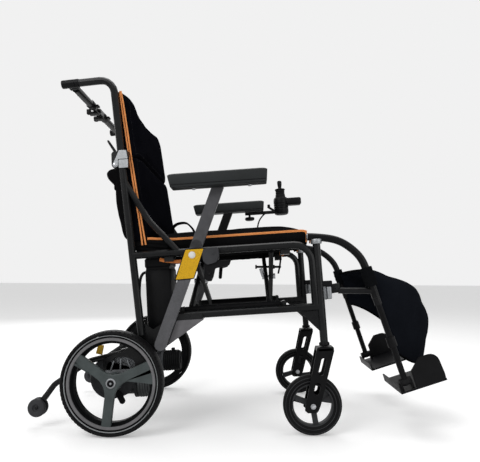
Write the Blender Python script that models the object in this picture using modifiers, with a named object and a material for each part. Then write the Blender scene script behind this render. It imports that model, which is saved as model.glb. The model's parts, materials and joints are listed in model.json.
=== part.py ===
"""A folding power wheelchair, side-folding on two X-braces.

Metres, +Z up, +X towards the footplates, +Y towards the occupant's left.
The whole frame is pitched nose-up by FRAME_PITCH, so most pieces are laid out in frame
coordinates: u runs forward along the rails, w runs up the posts, and (0, 0) is the rear axle.
Side -1 is the occupant's right, side +1 the occupant's left.
"""

import math
from collections import namedtuple

import bpy
import bmesh
from mathutils import Matrix, Vector

# Driving dimensions: wheels
WHEEL_RADIUS = 0.129
WHEEL_WIDTH = 0.045
WHEEL_Y = 0.262
RIM_RADIUS = 0.1175
RIM_BAND = 0.016
RIM_LIP = 0.013
SPOKE_WIDTH = 0.025
HUB_RADIUS = 0.026
SHAFT_RADIUS = 0.008
CASTOR_RADIUS = 0.074
CASTOR_WIDTH = 0.030
CASTOR_RIM = 0.052
CASTOR_TRAIL = 0.042
CASTOR_AXLE_RADIUS = 0.004
ANTI_TIP_RADIUS = 0.024
ANTI_TIP_WIDTH = 0.028

# Driving dimensions: frame
FRAME_PITCH = math.radians(4.0)
SIDE_Y = 0.228
TUBE_RADIUS = 0.010
BRACE_RADIUS = 0.008
LOWER_RAIL_W = 0.152
LOWER_RAIL_U = 0.155
SEAT_RAIL_W = 0.314
RAIL_BEND = 0.045
POST_U = 0.536
POST_GAP = 0.014
POST_TOP_W = 0.313
POST_BOTTOM_W = 0.053
BACK_U = 0.0555
BACK_LEAN = math.radians(4.0)
BACK_FOOT_W = 0.108
PLATE = 0.006

# Driving dimensions: half-folding back and push handles
HINGE_W = 0.571
HINGE_HALF = 0.024
HINGE_WIDTH = 0.020
HINGE_PIVOT_BACK = 0.0165
HINGE_PIVOT_DROP = 0.014
HANDLE_W = 0.798
HANDLE_LENGTH = 0.139
HANDLE_BEND = 0.038
GRIP_RADIUS = 0.0125
GRIP_LENGTH = 0.046
BAR_RADIUS = 0.0115

# Driving dimensions: X-braces
BRACE_HALF_SPAN = 0.200
BRACE_LOW_W = 0.1625
BRACE_HIGH_W = 0.313
BRACE_REAR_U = 0.205
BRACE_FRONT_U = 0.412
BRACE_STAGGER = 0.015
LEG_DEPTH = 0.024
LEG_THICKNESS = 0.012
LEG_CORNER = 0.004
PIVOT_TUBE_RADIUS = 0.009
SEAT_TUBE_RADIUS = 0.010
SEAT_TUBE_REAR_U = 0.092
SEAT_TUBE_FRONT_U = 0.488
BOLT_RADIUS = 0.004

# Driving dimensions: armrests and controller
ARM_Y = 0.249
ARM_TILT = math.radians(23.2)
ARM_PIVOT_U = 0.2165
ARM_PIVOT_W = 0.302
ARM_BAR_FOOT_W = 0.083
ARM_BAR_WIDTH = 0.030
ARM_BAR_THICKNESS = 0.014
PAD_Y = 0.265
PAD_W = 0.475
PAD_HEIGHT = 0.038
PAD_WIDTH = 0.047
PAD_BEHIND_BAR = 0.12765
PAD_LENGTH = 0.258
CONTROLLER_GAP = 0.038
CONTROLLER_DROP = 0.026
CONTROLLER_WIDTH = 0.050
CONTROLLER_LENGTH = 0.051
CONTROLLER_HEIGHT = 0.076

# Driving dimensions: legrests and footplates
LEG_TILT = math.radians(18.2)
HANGER_Y = 0.222
HANGER_REACH = 0.105
HANGER_BEND = 0.070
HANGER_DROP = 0.150
LEG_LENGTH = 0.3895
LEG_TUBE_RADIUS = 0.008
FOOT_HINGE_RISE = 0.018
FOOT_LENGTH = 0.119
FOOT_REAR = 0.022
FOOT_INNER_Y = 0.074
FOOT_WALL_Y = 0.238
FOOT_WALL = 0.068
FOOT_PLATE = 0.005

# Driving dimensions: drive, battery and soft parts
MOTOR_RADIUS = 0.034
MOTOR_LENGTH = 0.106
GEARBOX_RADIUS = 0.047
BATTERY_LENGTH = 0.070
BATTERY_WIDTH = 0.095
BATTERY_HEIGHT = 0.213
SEAT_HALF_WIDTH = 0.212
SEAT_THICKNESS = 0.029
SEAT_CROWN = 0.024
SEAT_SAG = 0.0018
SEAT_REAR_U = 0.094
SEAT_FRONT_U = 0.515
BACK_TOP_W = 0.765
BACK_SPLIT_W = HINGE_W + 0.010
BACK_FOOT_EDGE_W = 0.352
UPPER_PANEL_FRONT = 0.018
UPPER_PANEL_REAR = -0.002
UPPER_PANEL_CROWN = 0.030
LOWER_PANEL_FRONT = 0.031
LOWER_PANEL_CROWN = 0.016
UPPER_PANEL_CLEARANCE = 0.0006
LOWER_PANEL_CLEARANCE = 0.0001
POCKET_WIDTH = 0.330

GAP = 0.0004
RUNNING = 0.0006

# Where the whole chair is centred, from its rearmost and foremost points
ANTI_TIP_U = -0.2128
ANTI_TIP_W = -0.0613
ANTI_TIP_KNEE = (0.045, 0.055)
ANTI_TIP_REACH = 0.155


def pitched(u, w):
    """Ground coordinates x and z of a frame point, with x counted from the rear axle."""
    x = u * math.cos(FRAME_PITCH) - w * math.sin(FRAME_PITCH)
    z = WHEEL_RADIUS + u * math.sin(FRAME_PITCH) + w * math.cos(FRAME_PITCH)
    return x, z


POST_TOP_X, POST_TOP_Z = pitched(POST_U, POST_TOP_W)
CAP_HEIGHT = 0.012
CORNER_X = POST_TOP_X + HANGER_REACH
CORNER_Z = POST_TOP_Z + CAP_HEIGHT / 2


def on_leg(forward, down):
    """Ground x and z of a legrest point: down along the leg tube, forward square to it."""
    x = CORNER_X + down * math.sin(LEG_TILT) + forward * math.cos(LEG_TILT)
    z = CORNER_Z - down * math.cos(LEG_TILT) + forward * math.sin(LEG_TILT)
    return x, z


REAR_X = pitched(ANTI_TIP_U, ANTI_TIP_W)[0] - ANTI_TIP_RADIUS
FRONT_X = on_leg(FOOT_LENGTH - FOOT_REAR, LEG_LENGTH)[0]
MID_X = (REAR_X + FRONT_X) / 2


def ground(x, y, z):
    """A point given from the rear axle's foot, in the chair's own frame."""
    return Vector((x - MID_X, y, z))


def framed(u, y, w):
    """A frame point as a vector in the chair's own frame."""
    x, z = pitched(u, w)
    return ground(x, y, z)


def legged(forward, y, down):
    """A legrest point as a vector in the chair's own frame."""
    x, z = on_leg(forward, down)
    return ground(x, y, z)


def back_u(w):
    """u of the back post's axis at height w."""
    return BACK_U - (w - SEAT_RAIL_W) * math.tan(BACK_LEAN)


def arm_u(w):
    """u of the armrest bar's middle line at height w."""
    return ARM_PIVOT_U + (w - ARM_PIVOT_W) * math.tan(ARM_TILT)


PAD_REAR_U = arm_u(PAD_W) - PAD_BEHIND_BAR
PAD_FRONT_U = PAD_REAR_U + PAD_LENGTH

FRAME_TURN = Matrix.Rotation(-FRAME_PITCH, 4, "Y")
BACK_TURN = Matrix.Rotation(-FRAME_PITCH - BACK_LEAN, 4, "Y")
ARM_TURN = Matrix.Rotation(-FRAME_PITCH + ARM_TILT, 4, "Y")
LEG_TURN = Matrix.Rotation(-LEG_TILT, 4, "Y")

for item in list(bpy.data.objects):
    bpy.data.objects.remove(item, do_unlink=True)

CHAIR = bpy.data.collections.new("folding_power_wheelchair")
CONSTRUCTION = bpy.data.collections.new("construction_shapes")
bpy.context.scene.collection.children.link(CHAIR)
bpy.context.scene.collection.children.link(CONSTRUCTION)


def material(name, colour, roughness, metallic=0.0):
    """A Principled material in one plain colour."""
    made = bpy.data.materials.new(name)
    made.use_nodes = True
    shader = made.node_tree.nodes["Principled BSDF"]
    shader.inputs["Base Color"].default_value = (*colour, 1.0)
    shader.inputs["Roughness"].default_value = roughness
    shader.inputs["Metallic"].default_value = metallic
    return made


FRAME_PAINT = material("frame_paint", (0.055, 0.060, 0.066), 0.35, 0.3)
GREY_PAINT = material("grey_paint", (0.30, 0.31, 0.33), 0.4, 0.3)
BLACK_PLASTIC = material("black_plastic", (0.02, 0.02, 0.022), 0.45)
GREY_PLASTIC = material("grey_plastic", (0.25, 0.26, 0.27), 0.5)
ALUMINIUM = material("aluminium", (0.72, 0.73, 0.75), 0.3, 1.0)
STEEL = material("steel", (0.60, 0.61, 0.63), 0.25, 1.0)
RUBBER = material("rubber", (0.018, 0.018, 0.02), 0.75)
RIM_PAINT = material("rim_paint", (0.07, 0.08, 0.08), 0.4, 0.4)
BLACK_FABRIC = material("black_fabric", (0.018, 0.019, 0.024), 0.9)
NAVY_FABRIC = material("navy_fabric", (0.02, 0.022, 0.034), 0.88)
PAD_FOAM = material("pad_foam", (0.045, 0.046, 0.05), 0.7)


def mesh_object(name, mesh):
    """A new object for a mesh, in the construction collection until it is called a piece."""
    made = bpy.data.objects.new(name, mesh)
    CONSTRUCTION.objects.link(made)
    return made


def from_bmesh(name, shape):
    """A new object that holds what a bmesh holds."""
    mesh = bpy.data.meshes.new(name)
    shape.to_mesh(mesh)
    shape.free()
    return mesh_object(name, mesh)


def from_curve(name, curve, placing):
    """A closed mesh object from a curve: its caps welded, its points moved by placing."""
    drawn = bpy.data.objects.new(name + "_curve", curve)
    CONSTRUCTION.objects.link(drawn)
    evaluated = drawn.evaluated_get(bpy.context.evaluated_depsgraph_get())
    mesh = bpy.data.meshes.new_from_object(evaluated)
    bpy.data.objects.remove(drawn, do_unlink=True)
    shape = bmesh.new()
    shape.from_mesh(mesh)
    bmesh.ops.remove_doubles(shape, verts=shape.verts, dist=0.00001)
    bmesh.ops.recalc_face_normals(shape, faces=shape.faces)
    shape.to_mesh(mesh)
    shape.free()
    mesh.transform(placing)
    return mesh_object(name, mesh)


def spline_points(spline, points):
    """Fills a POLY spline with points."""
    spline.points.add(len(points) - 1)
    for target, point in zip(spline.points, points):
        target.co = (*point, 1.0)


def tube(name, points, radius, resolution=3):
    """A round tube or bar along points, with filled ends."""
    curve = bpy.data.curves.new(name, "CURVE")
    curve.dimensions = "3D"
    curve.bevel_depth = radius
    curve.bevel_resolution = resolution
    curve.use_fill_caps = True
    curve.resolution_u = 1
    spline_points(curve.splines.new("POLY"), points)
    return from_curve(name, curve, Matrix.Identity(4))


def plate(name, outlines, thickness, placing):
    """A flat piece: the first outline is its edge, the others are its holes."""
    curve = bpy.data.curves.new(name, "CURVE")
    curve.dimensions = "2D"
    curve.fill_mode = "BOTH"
    curve.extrude = thickness / 2
    for outline in outlines:
        spline = curve.splines.new("POLY")
        spline_points(spline, [(a, b, 0.0) for a, b in outline])
        spline.use_cyclic_u = True
    return from_curve(name, curve, placing)


def sides_of(radius):
    """How many sides a round bar of this radius gets: fewer on a thin pin."""
    if radius < 0.0055:
        return 8
    return 10 if radius < 0.009 else 12


def rod(name, radius, start, end, sides=None):
    """A round bar or bore between two points."""
    along = end - start
    turn = along.to_track_quat("Z", "Y").to_matrix().to_4x4()
    shape = bmesh.new()
    bmesh.ops.create_cone(
        shape,
        cap_ends=True,
        segments=sides or sides_of(radius),
        radius1=radius,
        radius2=radius,
        depth=along.length,
        matrix=Matrix.Translation((start + end) / 2) @ turn,
    )
    return from_bmesh(name, shape)


def block(name, size, centre, turn=None, rounding=0.0, segments=2):
    """A box, turned about its centre, with its edges rounded."""
    shape = bmesh.new()
    placing = Matrix.Translation(centre) @ (turn or Matrix.Identity(4))
    bmesh.ops.create_cube(shape, size=1.0, matrix=placing @ Matrix.Diagonal((*size, 1.0)))
    made = from_bmesh(name, shape)
    if rounding:
        soften(made, rounding, segments)
    return made


def soften(made, width, segments=2, angle=math.radians(40)):
    """Rounds a piece's sharp edges."""
    bevel = made.modifiers.new("rounded_edges", "BEVEL")
    bevel.width = width
    bevel.segments = segments
    bevel.limit_method = "ANGLE"
    bevel.angle_limit = angle


def turned(name, profile, placing, steps=32, closed=False):
    """A turned piece: a profile of radius and height, spun about the local Z axis."""
    mesh = bpy.data.meshes.new(name)
    points = [(radius, 0.0, height) for radius, height in profile]
    edges = [(i, i + 1) for i in range(len(points) - 1)]
    if closed:
        edges.append((len(points) - 1, 0))
    mesh.from_pydata(points, edges, [])
    made = mesh_object(name, mesh)
    made.matrix_world = placing
    spin = made.modifiers.new("spin", "SCREW")
    spin.steps = steps
    spin.render_steps = steps
    spin.use_merge_vertices = True
    spin.merge_threshold = 0.00001
    spin.use_smooth_shade = False
    return made


def boolean(made, other, operation):
    """Adds or cuts another shape, which stays in the construction collection as a wire."""
    other.hide_render = True
    other.display_type = "WIRE"
    step = made.modifiers.new(other.name, "BOOLEAN")
    step.operation = operation
    step.object = other


def weld(made, *others):
    """Joins shapes to a piece."""
    for other in others:
        boolean(made, other, "UNION")
    return made


def cut(made, *others):
    """Cuts shapes from a piece."""
    for other in others:
        boolean(made, other, "DIFFERENCE")
    return made


def piece(made, finish, pivot=None):
    """Makes a shape a part of the chair: its material, its shading and its pivot."""
    CONSTRUCTION.objects.unlink(made)
    CHAIR.objects.link(made)
    made.data.materials.append(finish)
    if pivot is not None:
        made.data.transform(Matrix.Translation(-pivot) @ made.matrix_world)
        made.matrix_world = Matrix.Translation(pivot)
    if made.data.polygons:
        made.data.shade_smooth()
        made.data.set_sharp_from_angle(angle=math.radians(35))
    return made


def side_name(side):
    """The occupant's side that a side number stands for."""
    return "right" if side < 0 else "left"


def outward(side, centre, step=0.0):
    """Placing of a turned piece whose local Z points out of the chair, turned by step."""
    turn = Matrix.Rotation(math.radians(-90 * side), 4, "X")
    return Matrix.Translation(centre) @ turn @ Matrix.Rotation(step, 4, "Z")


def frame_plane(y):
    """Placing of a plate drawn in u and w, lying across Y at y."""
    x_axis = FRAME_TURN @ Vector((1, 0, 0))
    y_axis = FRAME_TURN @ Vector((0, 0, 1))
    turn = Matrix((x_axis, y_axis, Vector((0, -1, 0)))).transposed().to_4x4()
    return Matrix.Translation(framed(0, y, 0)) @ turn


def arm_plane(y):
    """Placing of a plate drawn across and up the armrest bar, from its pivot."""
    x_axis = ARM_TURN @ Vector((1, 0, 0))
    y_axis = ARM_TURN @ Vector((0, 0, 1))
    turn = Matrix((x_axis, y_axis, Vector((0, -1, 0)))).transposed().to_4x4()
    return Matrix.Translation(framed(ARM_PIVOT_U, y, ARM_PIVOT_W)) @ turn


def leg_plane(y):
    """Placing of a plate drawn forward and up the legrest, from its corner."""
    x_axis = LEG_TURN @ Vector((1, 0, 0))
    y_axis = LEG_TURN @ Vector((0, 0, 1))
    turn = Matrix((x_axis, y_axis, Vector((0, -1, 0)))).transposed().to_4x4()
    return Matrix.Translation(legged(0, y, 0)) @ turn


def rounded(points, radius, steps=5):
    """The points of a bent tube: each inner corner becomes an arc."""
    path = [points[0]]
    for before, corner, after in zip(points, points[1:], points[2:]):
        come = (before - corner).normalized()
        leave = (after - corner).normalized()
        half = come.angle(leave) / 2
        reach = radius / math.tan(half)
        centre = corner + (come + leave).normalized() * (radius / math.sin(half))
        first = corner + come * reach - centre
        last = corner + leave * reach - centre
        for i in range(steps + 1):
            path.append(centre + first.normalized().slerp(last.normalized(), i / steps) * radius)
    path.append(points[-1])
    return path


def arc(centre, radius, start, end, steps=8):
    """Points of an arc in a plate's own plane, from one angle to another, in degrees."""
    points = []
    for i in range(steps + 1):
        angle = math.radians(start + (end - start) * i / steps)
        points.append((centre[0] + radius * math.cos(angle), centre[1] + radius * math.sin(angle)))
    return points


def capsule(first, last, radius, steps=8):
    """The outline of a bar with round ends between two points of a plate's plane."""
    angle = math.degrees(math.atan2(last[1] - first[1], last[0] - first[0]))
    return arc(last, radius, angle - 90, angle + 90, steps) + arc(first, radius, angle + 90, angle + 270, steps)


def disc(name, centre, radius, width, sides=None):
    """A flat round piece across Y."""
    half = Vector((0, width / 2, 0))
    return rod(name, radius, centre - half, centre + half, sides)


# Values that several sub-parts share
HINGE_PIVOT_U = back_u(HINGE_W) - HINGE_PIVOT_BACK
HINGE_PIVOT_W = HINGE_W - HINGE_PIVOT_DROP
HINGE_FRONT = 0.0185
HINGE_REAR = 0.0095
HINGE_EAR = 0.0085
CHEEK = 0.005
EAR_WIDTH = HINGE_WIDTH - 2 * CHEEK - 0.001
MOUNT_Y = SIDE_Y - 0.006
FOOT_PLATE_Y = ARM_Y - ARM_BAR_THICKNESS / 2 - GAP - PLATE / 2
RECEIVER_RADIUS = 0.0105
ANTI_TIP_TUBE = 0.0075
RECEIVER_Y = MOUNT_Y - PLATE / 2 - RECEIVER_RADIUS + 0.0008
RECEIVER_REAR = (0.012, 0.0635)
RECEIVER_FRONT = (0.080, 0.0755)
STEM_RADIUS = 0.006
STEM_LENGTH = 0.028
HANGER_PIN_RADIUS = 0.0045
HANGER_PIN_LENGTH = 0.020
PIVOT_PIN_RADIUS = 0.005
PIVOT_PIN_LENGTH = 0.010
BRACKET_LENGTH = 0.012
PIVOT_TUBE_REAR_U = BRACE_REAR_U - 0.022
PIVOT_TUBE_FRONT_U = BRACE_FRONT_U + 0.023
CRADLE_US = (0.150, 0.455)
CENTRE_W = (BRACE_LOW_W + BRACE_HIGH_W) / 2


def side_tubes(side):
    """The bent seat rail, lower rail, front post, back post and brace of one side."""
    y = side * SIDE_Y
    rail_front = POST_U - POST_GAP
    rail = rounded(
        [
            framed(back_u(SEAT_RAIL_W), y, SEAT_RAIL_W),
            framed(rail_front, y, SEAT_RAIL_W),
            framed(rail_front, y, LOWER_RAIL_W),
        ],
        RAIL_BEND,
    )
    brace = rounded(
        [
            framed(back_u(SEAT_RAIL_W + 0.201), y, SEAT_RAIL_W + 0.201),
            framed(BACK_U + 0.045, y, SEAT_RAIL_W + 0.091),
            framed(BACK_U + 0.123, y, SEAT_RAIL_W),
        ],
        0.20,
        3,
    )
    frame = tube(side_name(side) + "_side_frame", rail, TUBE_RADIUS)
    back_foot = framed(back_u(BACK_FOOT_W), y, BACK_FOOT_W)
    back_top_w = HINGE_W - HINGE_HALF + 0.004
    back_top = framed(back_u(back_top_w), y, back_top_w)
    rail_rear = framed(LOWER_RAIL_U, y, LOWER_RAIL_W)
    rail_end = framed(POST_U, y, LOWER_RAIL_W)
    return weld(
        frame,
        rod("front_post", TUBE_RADIUS, framed(POST_U, y, POST_BOTTOM_W), framed(POST_U, y, POST_TOP_W)),
        rod("back_post", TUBE_RADIUS, back_foot, back_top),
        rod("lower_rail", TUBE_RADIUS, rail_rear, rail_end),
        tube("brace", brace, BRACE_RADIUS),
    )


def side_plates(side):
    """The gusset, the motor plate and the armrest's foot plate of one side."""
    gusset_rear = POST_U - 0.063
    gusset_foot = LOWER_RAIL_W - 0.071
    gusset = [(gusset_rear, LOWER_RAIL_W - 0.004), (POST_U, gusset_foot), (POST_U, LOWER_RAIL_W - 0.004)]
    foot_u = back_u(BACK_FOOT_W)
    motor_plate = [
        (-0.034, 0.024),
        (0.050, 0.024),
        (foot_u + 0.035, 0.060),
        (LOWER_RAIL_U + 0.022, LOWER_RAIL_W - 0.006),
        (LOWER_RAIL_U + 0.010, LOWER_RAIL_W + 0.006),
        (foot_u + 0.030, BACK_FOOT_W + 0.012),
        (foot_u + 0.008, BACK_FOOT_W + 0.030),
        (foot_u - 0.012, BACK_FOOT_W + 0.030),
        (0.030, 0.074),
        (-0.034, 0.052),
    ]
    arm_foot_u = arm_u(ARM_BAR_FOOT_W)
    foot_plate = [
        (arm_foot_u - 0.010, ARM_BAR_FOOT_W - 0.012),
        (arm_foot_u + 0.004, ARM_BAR_FOOT_W - 0.012),
        (LOWER_RAIL_U + 0.078, LOWER_RAIL_W - 0.014),
        (LOWER_RAIL_U + 0.075, LOWER_RAIL_W + 0.0034),
        (LOWER_RAIL_U, LOWER_RAIL_W + 0.0034),
    ]
    return (
        plate("gusset", [gusset], 0.005, frame_plane(side * SIDE_Y)),
        plate("motor_plate", [motor_plate], PLATE, frame_plane(side * MOUNT_Y)),
        plate("foot_plate", [foot_plate], PLATE, frame_plane(side * FOOT_PLATE_Y)),
    )


def seat_cradles(side):
    """The notched blocks that the seat tube comes down on, and the cutter that notches them."""
    width = SIDE_Y - BRACE_HALF_SPAN + 0.010
    y = side * (SIDE_Y - 0.001 - width / 2)
    low = BRACE_HIGH_W - 0.021
    high = BRACE_HIGH_W - 0.002
    cradles = []
    for u in CRADLE_US:
        centre = framed(u, y, (low + high) / 2)
        cradles.append(block("cradle", (0.024, width, high - low), centre, FRAME_TURN))
    notch = rod(
        "cradle_notch",
        (SEAT_TUBE_RADIUS + RUNNING) / math.cos(math.pi / 12),
        framed(CRADLE_US[0] - 0.02, side * BRACE_HALF_SPAN, BRACE_HIGH_W),
        framed(CRADLE_US[1] + 0.02, side * BRACE_HALF_SPAN, BRACE_HIGH_W),
    )
    return cradles, notch


def pivot_brackets(side):
    """The brackets and pins that the lower pivot tube of an X-brace turns on."""
    parts = []
    width = SIDE_Y - BRACE_HALF_SPAN + 0.009
    y = side * (SIDE_Y - 0.0015 - width / 2)
    for tube_end, away in ((PIVOT_TUBE_REAR_U, -1), (PIVOT_TUBE_FRONT_U, 1)):
        face = tube_end + away * GAP
        centre = framed(face + away * BRACKET_LENGTH / 2, y, BRACE_LOW_W - 0.004)
        parts.append(block("bracket", (BRACKET_LENGTH, width, 0.028), centre, FRAME_TURN, 0.003, 1))
        start = framed(face + away * BRACKET_LENGTH * 0.6, side * BRACE_HALF_SPAN, BRACE_LOW_W)
        end = framed(face - away * PIVOT_PIN_LENGTH, side * BRACE_HALF_SPAN, BRACE_LOW_W)
        parts.append(rod("bracket_pin", PIVOT_PIN_RADIUS, start, end))
    return parts


def hinge_foot(side):
    """The lower half of the half-folding back hinge, with its ear and the ear's bore."""
    y = side * SIDE_Y
    front = back_u(HINGE_W) + HINGE_FRONT
    rear = HINGE_PIVOT_U + HINGE_EAR + 0.0010
    size = (front - rear, HINGE_WIDTH, HINGE_HALF - GAP)
    centre = framed((front + rear) / 2, y, HINGE_W - GAP - size[2] / 2)
    body = block("hinge_foot", size, centre, FRAME_TURN)
    outline = arc((HINGE_PIVOT_U, HINGE_PIVOT_W), HINGE_EAR, 50, 290, 8)
    outline += [(rear + 0.004, HINGE_PIVOT_W - 0.0075), (rear + 0.004, HINGE_PIVOT_W + 0.005)]
    ear = plate("hinge_ear", [outline], EAR_WIDTH, frame_plane(y))
    bore = disc("hinge_bore", framed(HINGE_PIVOT_U, y, HINGE_PIVOT_W), 0.0036, 0.03)
    return (body, ear), bore


def side_frame(side):
    """One welded side frame, with everything that is welded or bolted to it for good."""
    y = side * SIDE_Y
    frame = side_tubes(side)
    weld(frame, *side_plates(side))
    receiver_y = side * RECEIVER_Y
    rear = framed(RECEIVER_REAR[0], receiver_y, RECEIVER_REAR[1])
    front = framed(RECEIVER_FRONT[0], receiver_y, RECEIVER_FRONT[1])
    weld(frame, rod("receiver", RECEIVER_RADIUS, rear, front))
    cradles, notch = seat_cradles(side)
    weld(frame, *cradles)
    weld(frame, *pivot_brackets(side))
    hinge, hinge_bore = hinge_foot(side)
    weld(frame, *hinge)
    beyond = (rear - front).normalized() * 0.01
    stem_top = framed(POST_U, y, POST_BOTTOM_W + STEM_LENGTH + 0.001)
    stem_mouth = framed(POST_U, y, POST_BOTTOM_W - 0.01)
    pin_foot = framed(POST_U, y, POST_TOP_W - HANGER_PIN_LENGTH - 0.001)
    pin_mouth = framed(POST_U, y, POST_TOP_W + 0.01)
    cut(
        frame,
        notch,
        hinge_bore,
        rod("receiver_bore", ANTI_TIP_TUBE + RUNNING, front - beyond * 0.3, rear + beyond),
        rod("stem_bore", STEM_RADIUS + RUNNING, stem_mouth, stem_top),
        rod("hanger_bore", HANGER_PIN_RADIUS + RUNNING, pin_foot, pin_mouth),
    )
    if side < 0:
        weld(frame, battery_tray())
    else:
        weld(frame, cable_clip())
    return piece(frame, FRAME_PAINT)


BATTERY_U = 0.076
BATTERY_W = 0.094
BATTERY_Y = -0.185
TRAY = 0.004


def battery_tray():
    """The shelf on the right motor plate that the battery stands on."""
    rear = BATTERY_U - 0.008
    front = BATTERY_U + BATTERY_LENGTH - 0.008
    outer = -MOUNT_Y
    inner = BATTERY_Y + BATTERY_WIDTH
    centre = framed((rear + front) / 2, (outer + inner) / 2, BATTERY_W - GAP - TRAY / 2)
    return block("battery_tray", (front - rear, inner - outer, TRAY), centre, FRAME_TURN)


CLIP_U = 0.345
CLIP_HEIGHT = 0.012


def cable_clip():
    """The clip on the left seat rail that takes the controller's cable."""
    centre = framed(CLIP_U, SIDE_Y, SEAT_RAIL_W + TUBE_RADIUS + CLIP_HEIGHT / 2 - 0.002)
    return block("cable_clip", (0.016, 0.012, CLIP_HEIGHT), centre, FRAME_TURN, 0.002, 1)


# Wheels

WHEEL_STEPS = 28
CASTOR_STEPS = 20


def wheel_tyre(name, placing, radius, width, rim, steps):
    """A solid tyre with round shoulders; its facets, not its edges, lie at the radius."""
    half = width / 2
    radius = radius / math.cos(math.pi / steps)
    shoulder = min(half * 0.45, (radius - rim) * 0.6)
    right = [
        (rim, half * 0.78),
        (radius - shoulder, half),
        (radius - shoulder * 0.3, half - shoulder * 0.35),
        (radius, half - shoulder),
    ]
    profile = right + [(r, -z) for r, z in reversed(right)]
    return turned(name, profile, placing, steps, closed=True)


def spoke_window(angle, reach, width, fillet):
    """The outline of the gap between two spokes, the first at angle, a third of a turn apart."""
    half = math.radians(60)
    middle = (width / 2 + fillet) / math.sin(half)
    centre_angle = math.radians(angle) + half
    centre = (middle * math.cos(centre_angle), middle * math.sin(centre_angle))
    outline = arc(centre, fillet, angle + 270, angle + 210, 3)
    spread = math.degrees(math.asin(width / 2 / reach))
    outline += arc((0, 0), reach, angle + 120 - spread, angle + spread, 5)
    return outline


# A rim's sizes: band is how much of its ring is full depth, and first_spoke is in degrees
RimSizes = namedtuple(
    "RimSizes",
    "radius ring band depth hub_radius hub_in hub_out spoke fillet first_spoke bore_radius bore_out steps",
)
REAR_RIM = RimSizes(
    radius=RIM_RADIUS,
    ring=RIM_BAND + RIM_LIP,
    band=RIM_BAND,
    depth=WHEEL_WIDTH * 0.36,
    hub_radius=HUB_RADIUS,
    hub_in=WHEEL_WIDTH / 2 - 0.002,
    hub_out=0.014,
    spoke=SPOKE_WIDTH,
    fillet=0.050,
    first_spoke=25.0,
    bore_radius=SHAFT_RADIUS + RUNNING,
    bore_out=0.002,
    steps=WHEEL_STEPS,
)
CASTOR_HUB = RimSizes(
    radius=CASTOR_RIM,
    ring=0.012,
    band=0.012,
    depth=CASTOR_WIDTH * 0.36,
    hub_radius=0.014,
    hub_in=CASTOR_WIDTH / 2,
    hub_out=CASTOR_WIDTH / 2,
    spoke=0.016,
    fillet=0.020,
    first_spoke=40.0,
    bore_radius=CASTOR_AXLE_RADIUS + RUNNING,
    bore_out=CASTOR_WIDTH,
    steps=CASTOR_STEPS,
)


def wheel_rim(name, placing, sizes):
    """A cast wheel: a deep ring, three broad spokes flaring into the hub, and a bored hub."""
    outer = sizes.radius
    inner = outer - sizes.ring
    depth = sizes.depth
    band = [(outer, depth), (outer, -depth), (outer - sizes.band, -depth)]
    if sizes.band < sizes.ring:
        band += [(inner, -depth * 0.25), (inner, depth * 0.25)]
    rim = turned(name, band + [(outer - sizes.band, depth)], placing, sizes.steps, closed=True)
    outline = arc((0, 0), outer - sizes.ring * 0.5, 0, 360, 14)[:-1]
    first = sizes.first_spoke - 180 / sizes.steps
    reach = outer - sizes.ring * 0.8
    windows = [spoke_window(first + 120 * i, reach, sizes.spoke, sizes.fillet) for i in range(3)]
    spider_placing = placing @ Matrix.Translation((0, 0, depth * 0.2))
    spider = plate(name + "_spider", [outline] + windows, depth * 0.7, spider_placing)
    hub_profile = [
        (0, sizes.hub_out),
        (sizes.hub_radius * 0.75, sizes.hub_out),
        (sizes.hub_radius, sizes.hub_out - 0.003),
        (sizes.hub_radius * 0.9, -sizes.hub_in),
        (0, -sizes.hub_in),
    ]
    middle = turned(name + "_hub", hub_profile, placing, 12)
    weld(rim, spider, middle)
    axis = placing.to_3x3() @ Vector((0, 0, 1))
    start = placing.translation - axis * (sizes.hub_in + 0.005)
    end = placing.translation + axis * sizes.bore_out
    return cut(rim, rod(name + "_bore", sizes.bore_radius, start, end))


def rear_wheel(side):
    """One driven rear wheel: its tyre and its three-spoke rim."""
    half_step = math.pi / WHEEL_STEPS
    centre = ground(0, side * WHEEL_Y, WHEEL_RADIUS)
    placing = outward(side, centre, half_step)
    tyre = wheel_tyre(
        side_name(side) + "_wheel_tyre", placing, WHEEL_RADIUS, WHEEL_WIDTH, RIM_RADIUS + GAP, WHEEL_STEPS
    )
    piece(tyre, RUBBER)
    piece(wheel_rim(side_name(side) + "_wheel_rim", placing, REAR_RIM), RIM_PAINT)


def castor_axle():
    """u and w of the castor's axle, behind the swivel axis by the trail."""
    drop = CASTOR_RADIUS - WHEEL_RADIUS
    w_axis = (drop - POST_U * math.sin(FRAME_PITCH)) / math.cos(FRAME_PITCH)
    return (
        POST_U - CASTOR_TRAIL * math.cos(FRAME_PITCH),
        w_axis + CASTOR_TRAIL * math.sin(FRAME_PITCH),
    )


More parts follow.
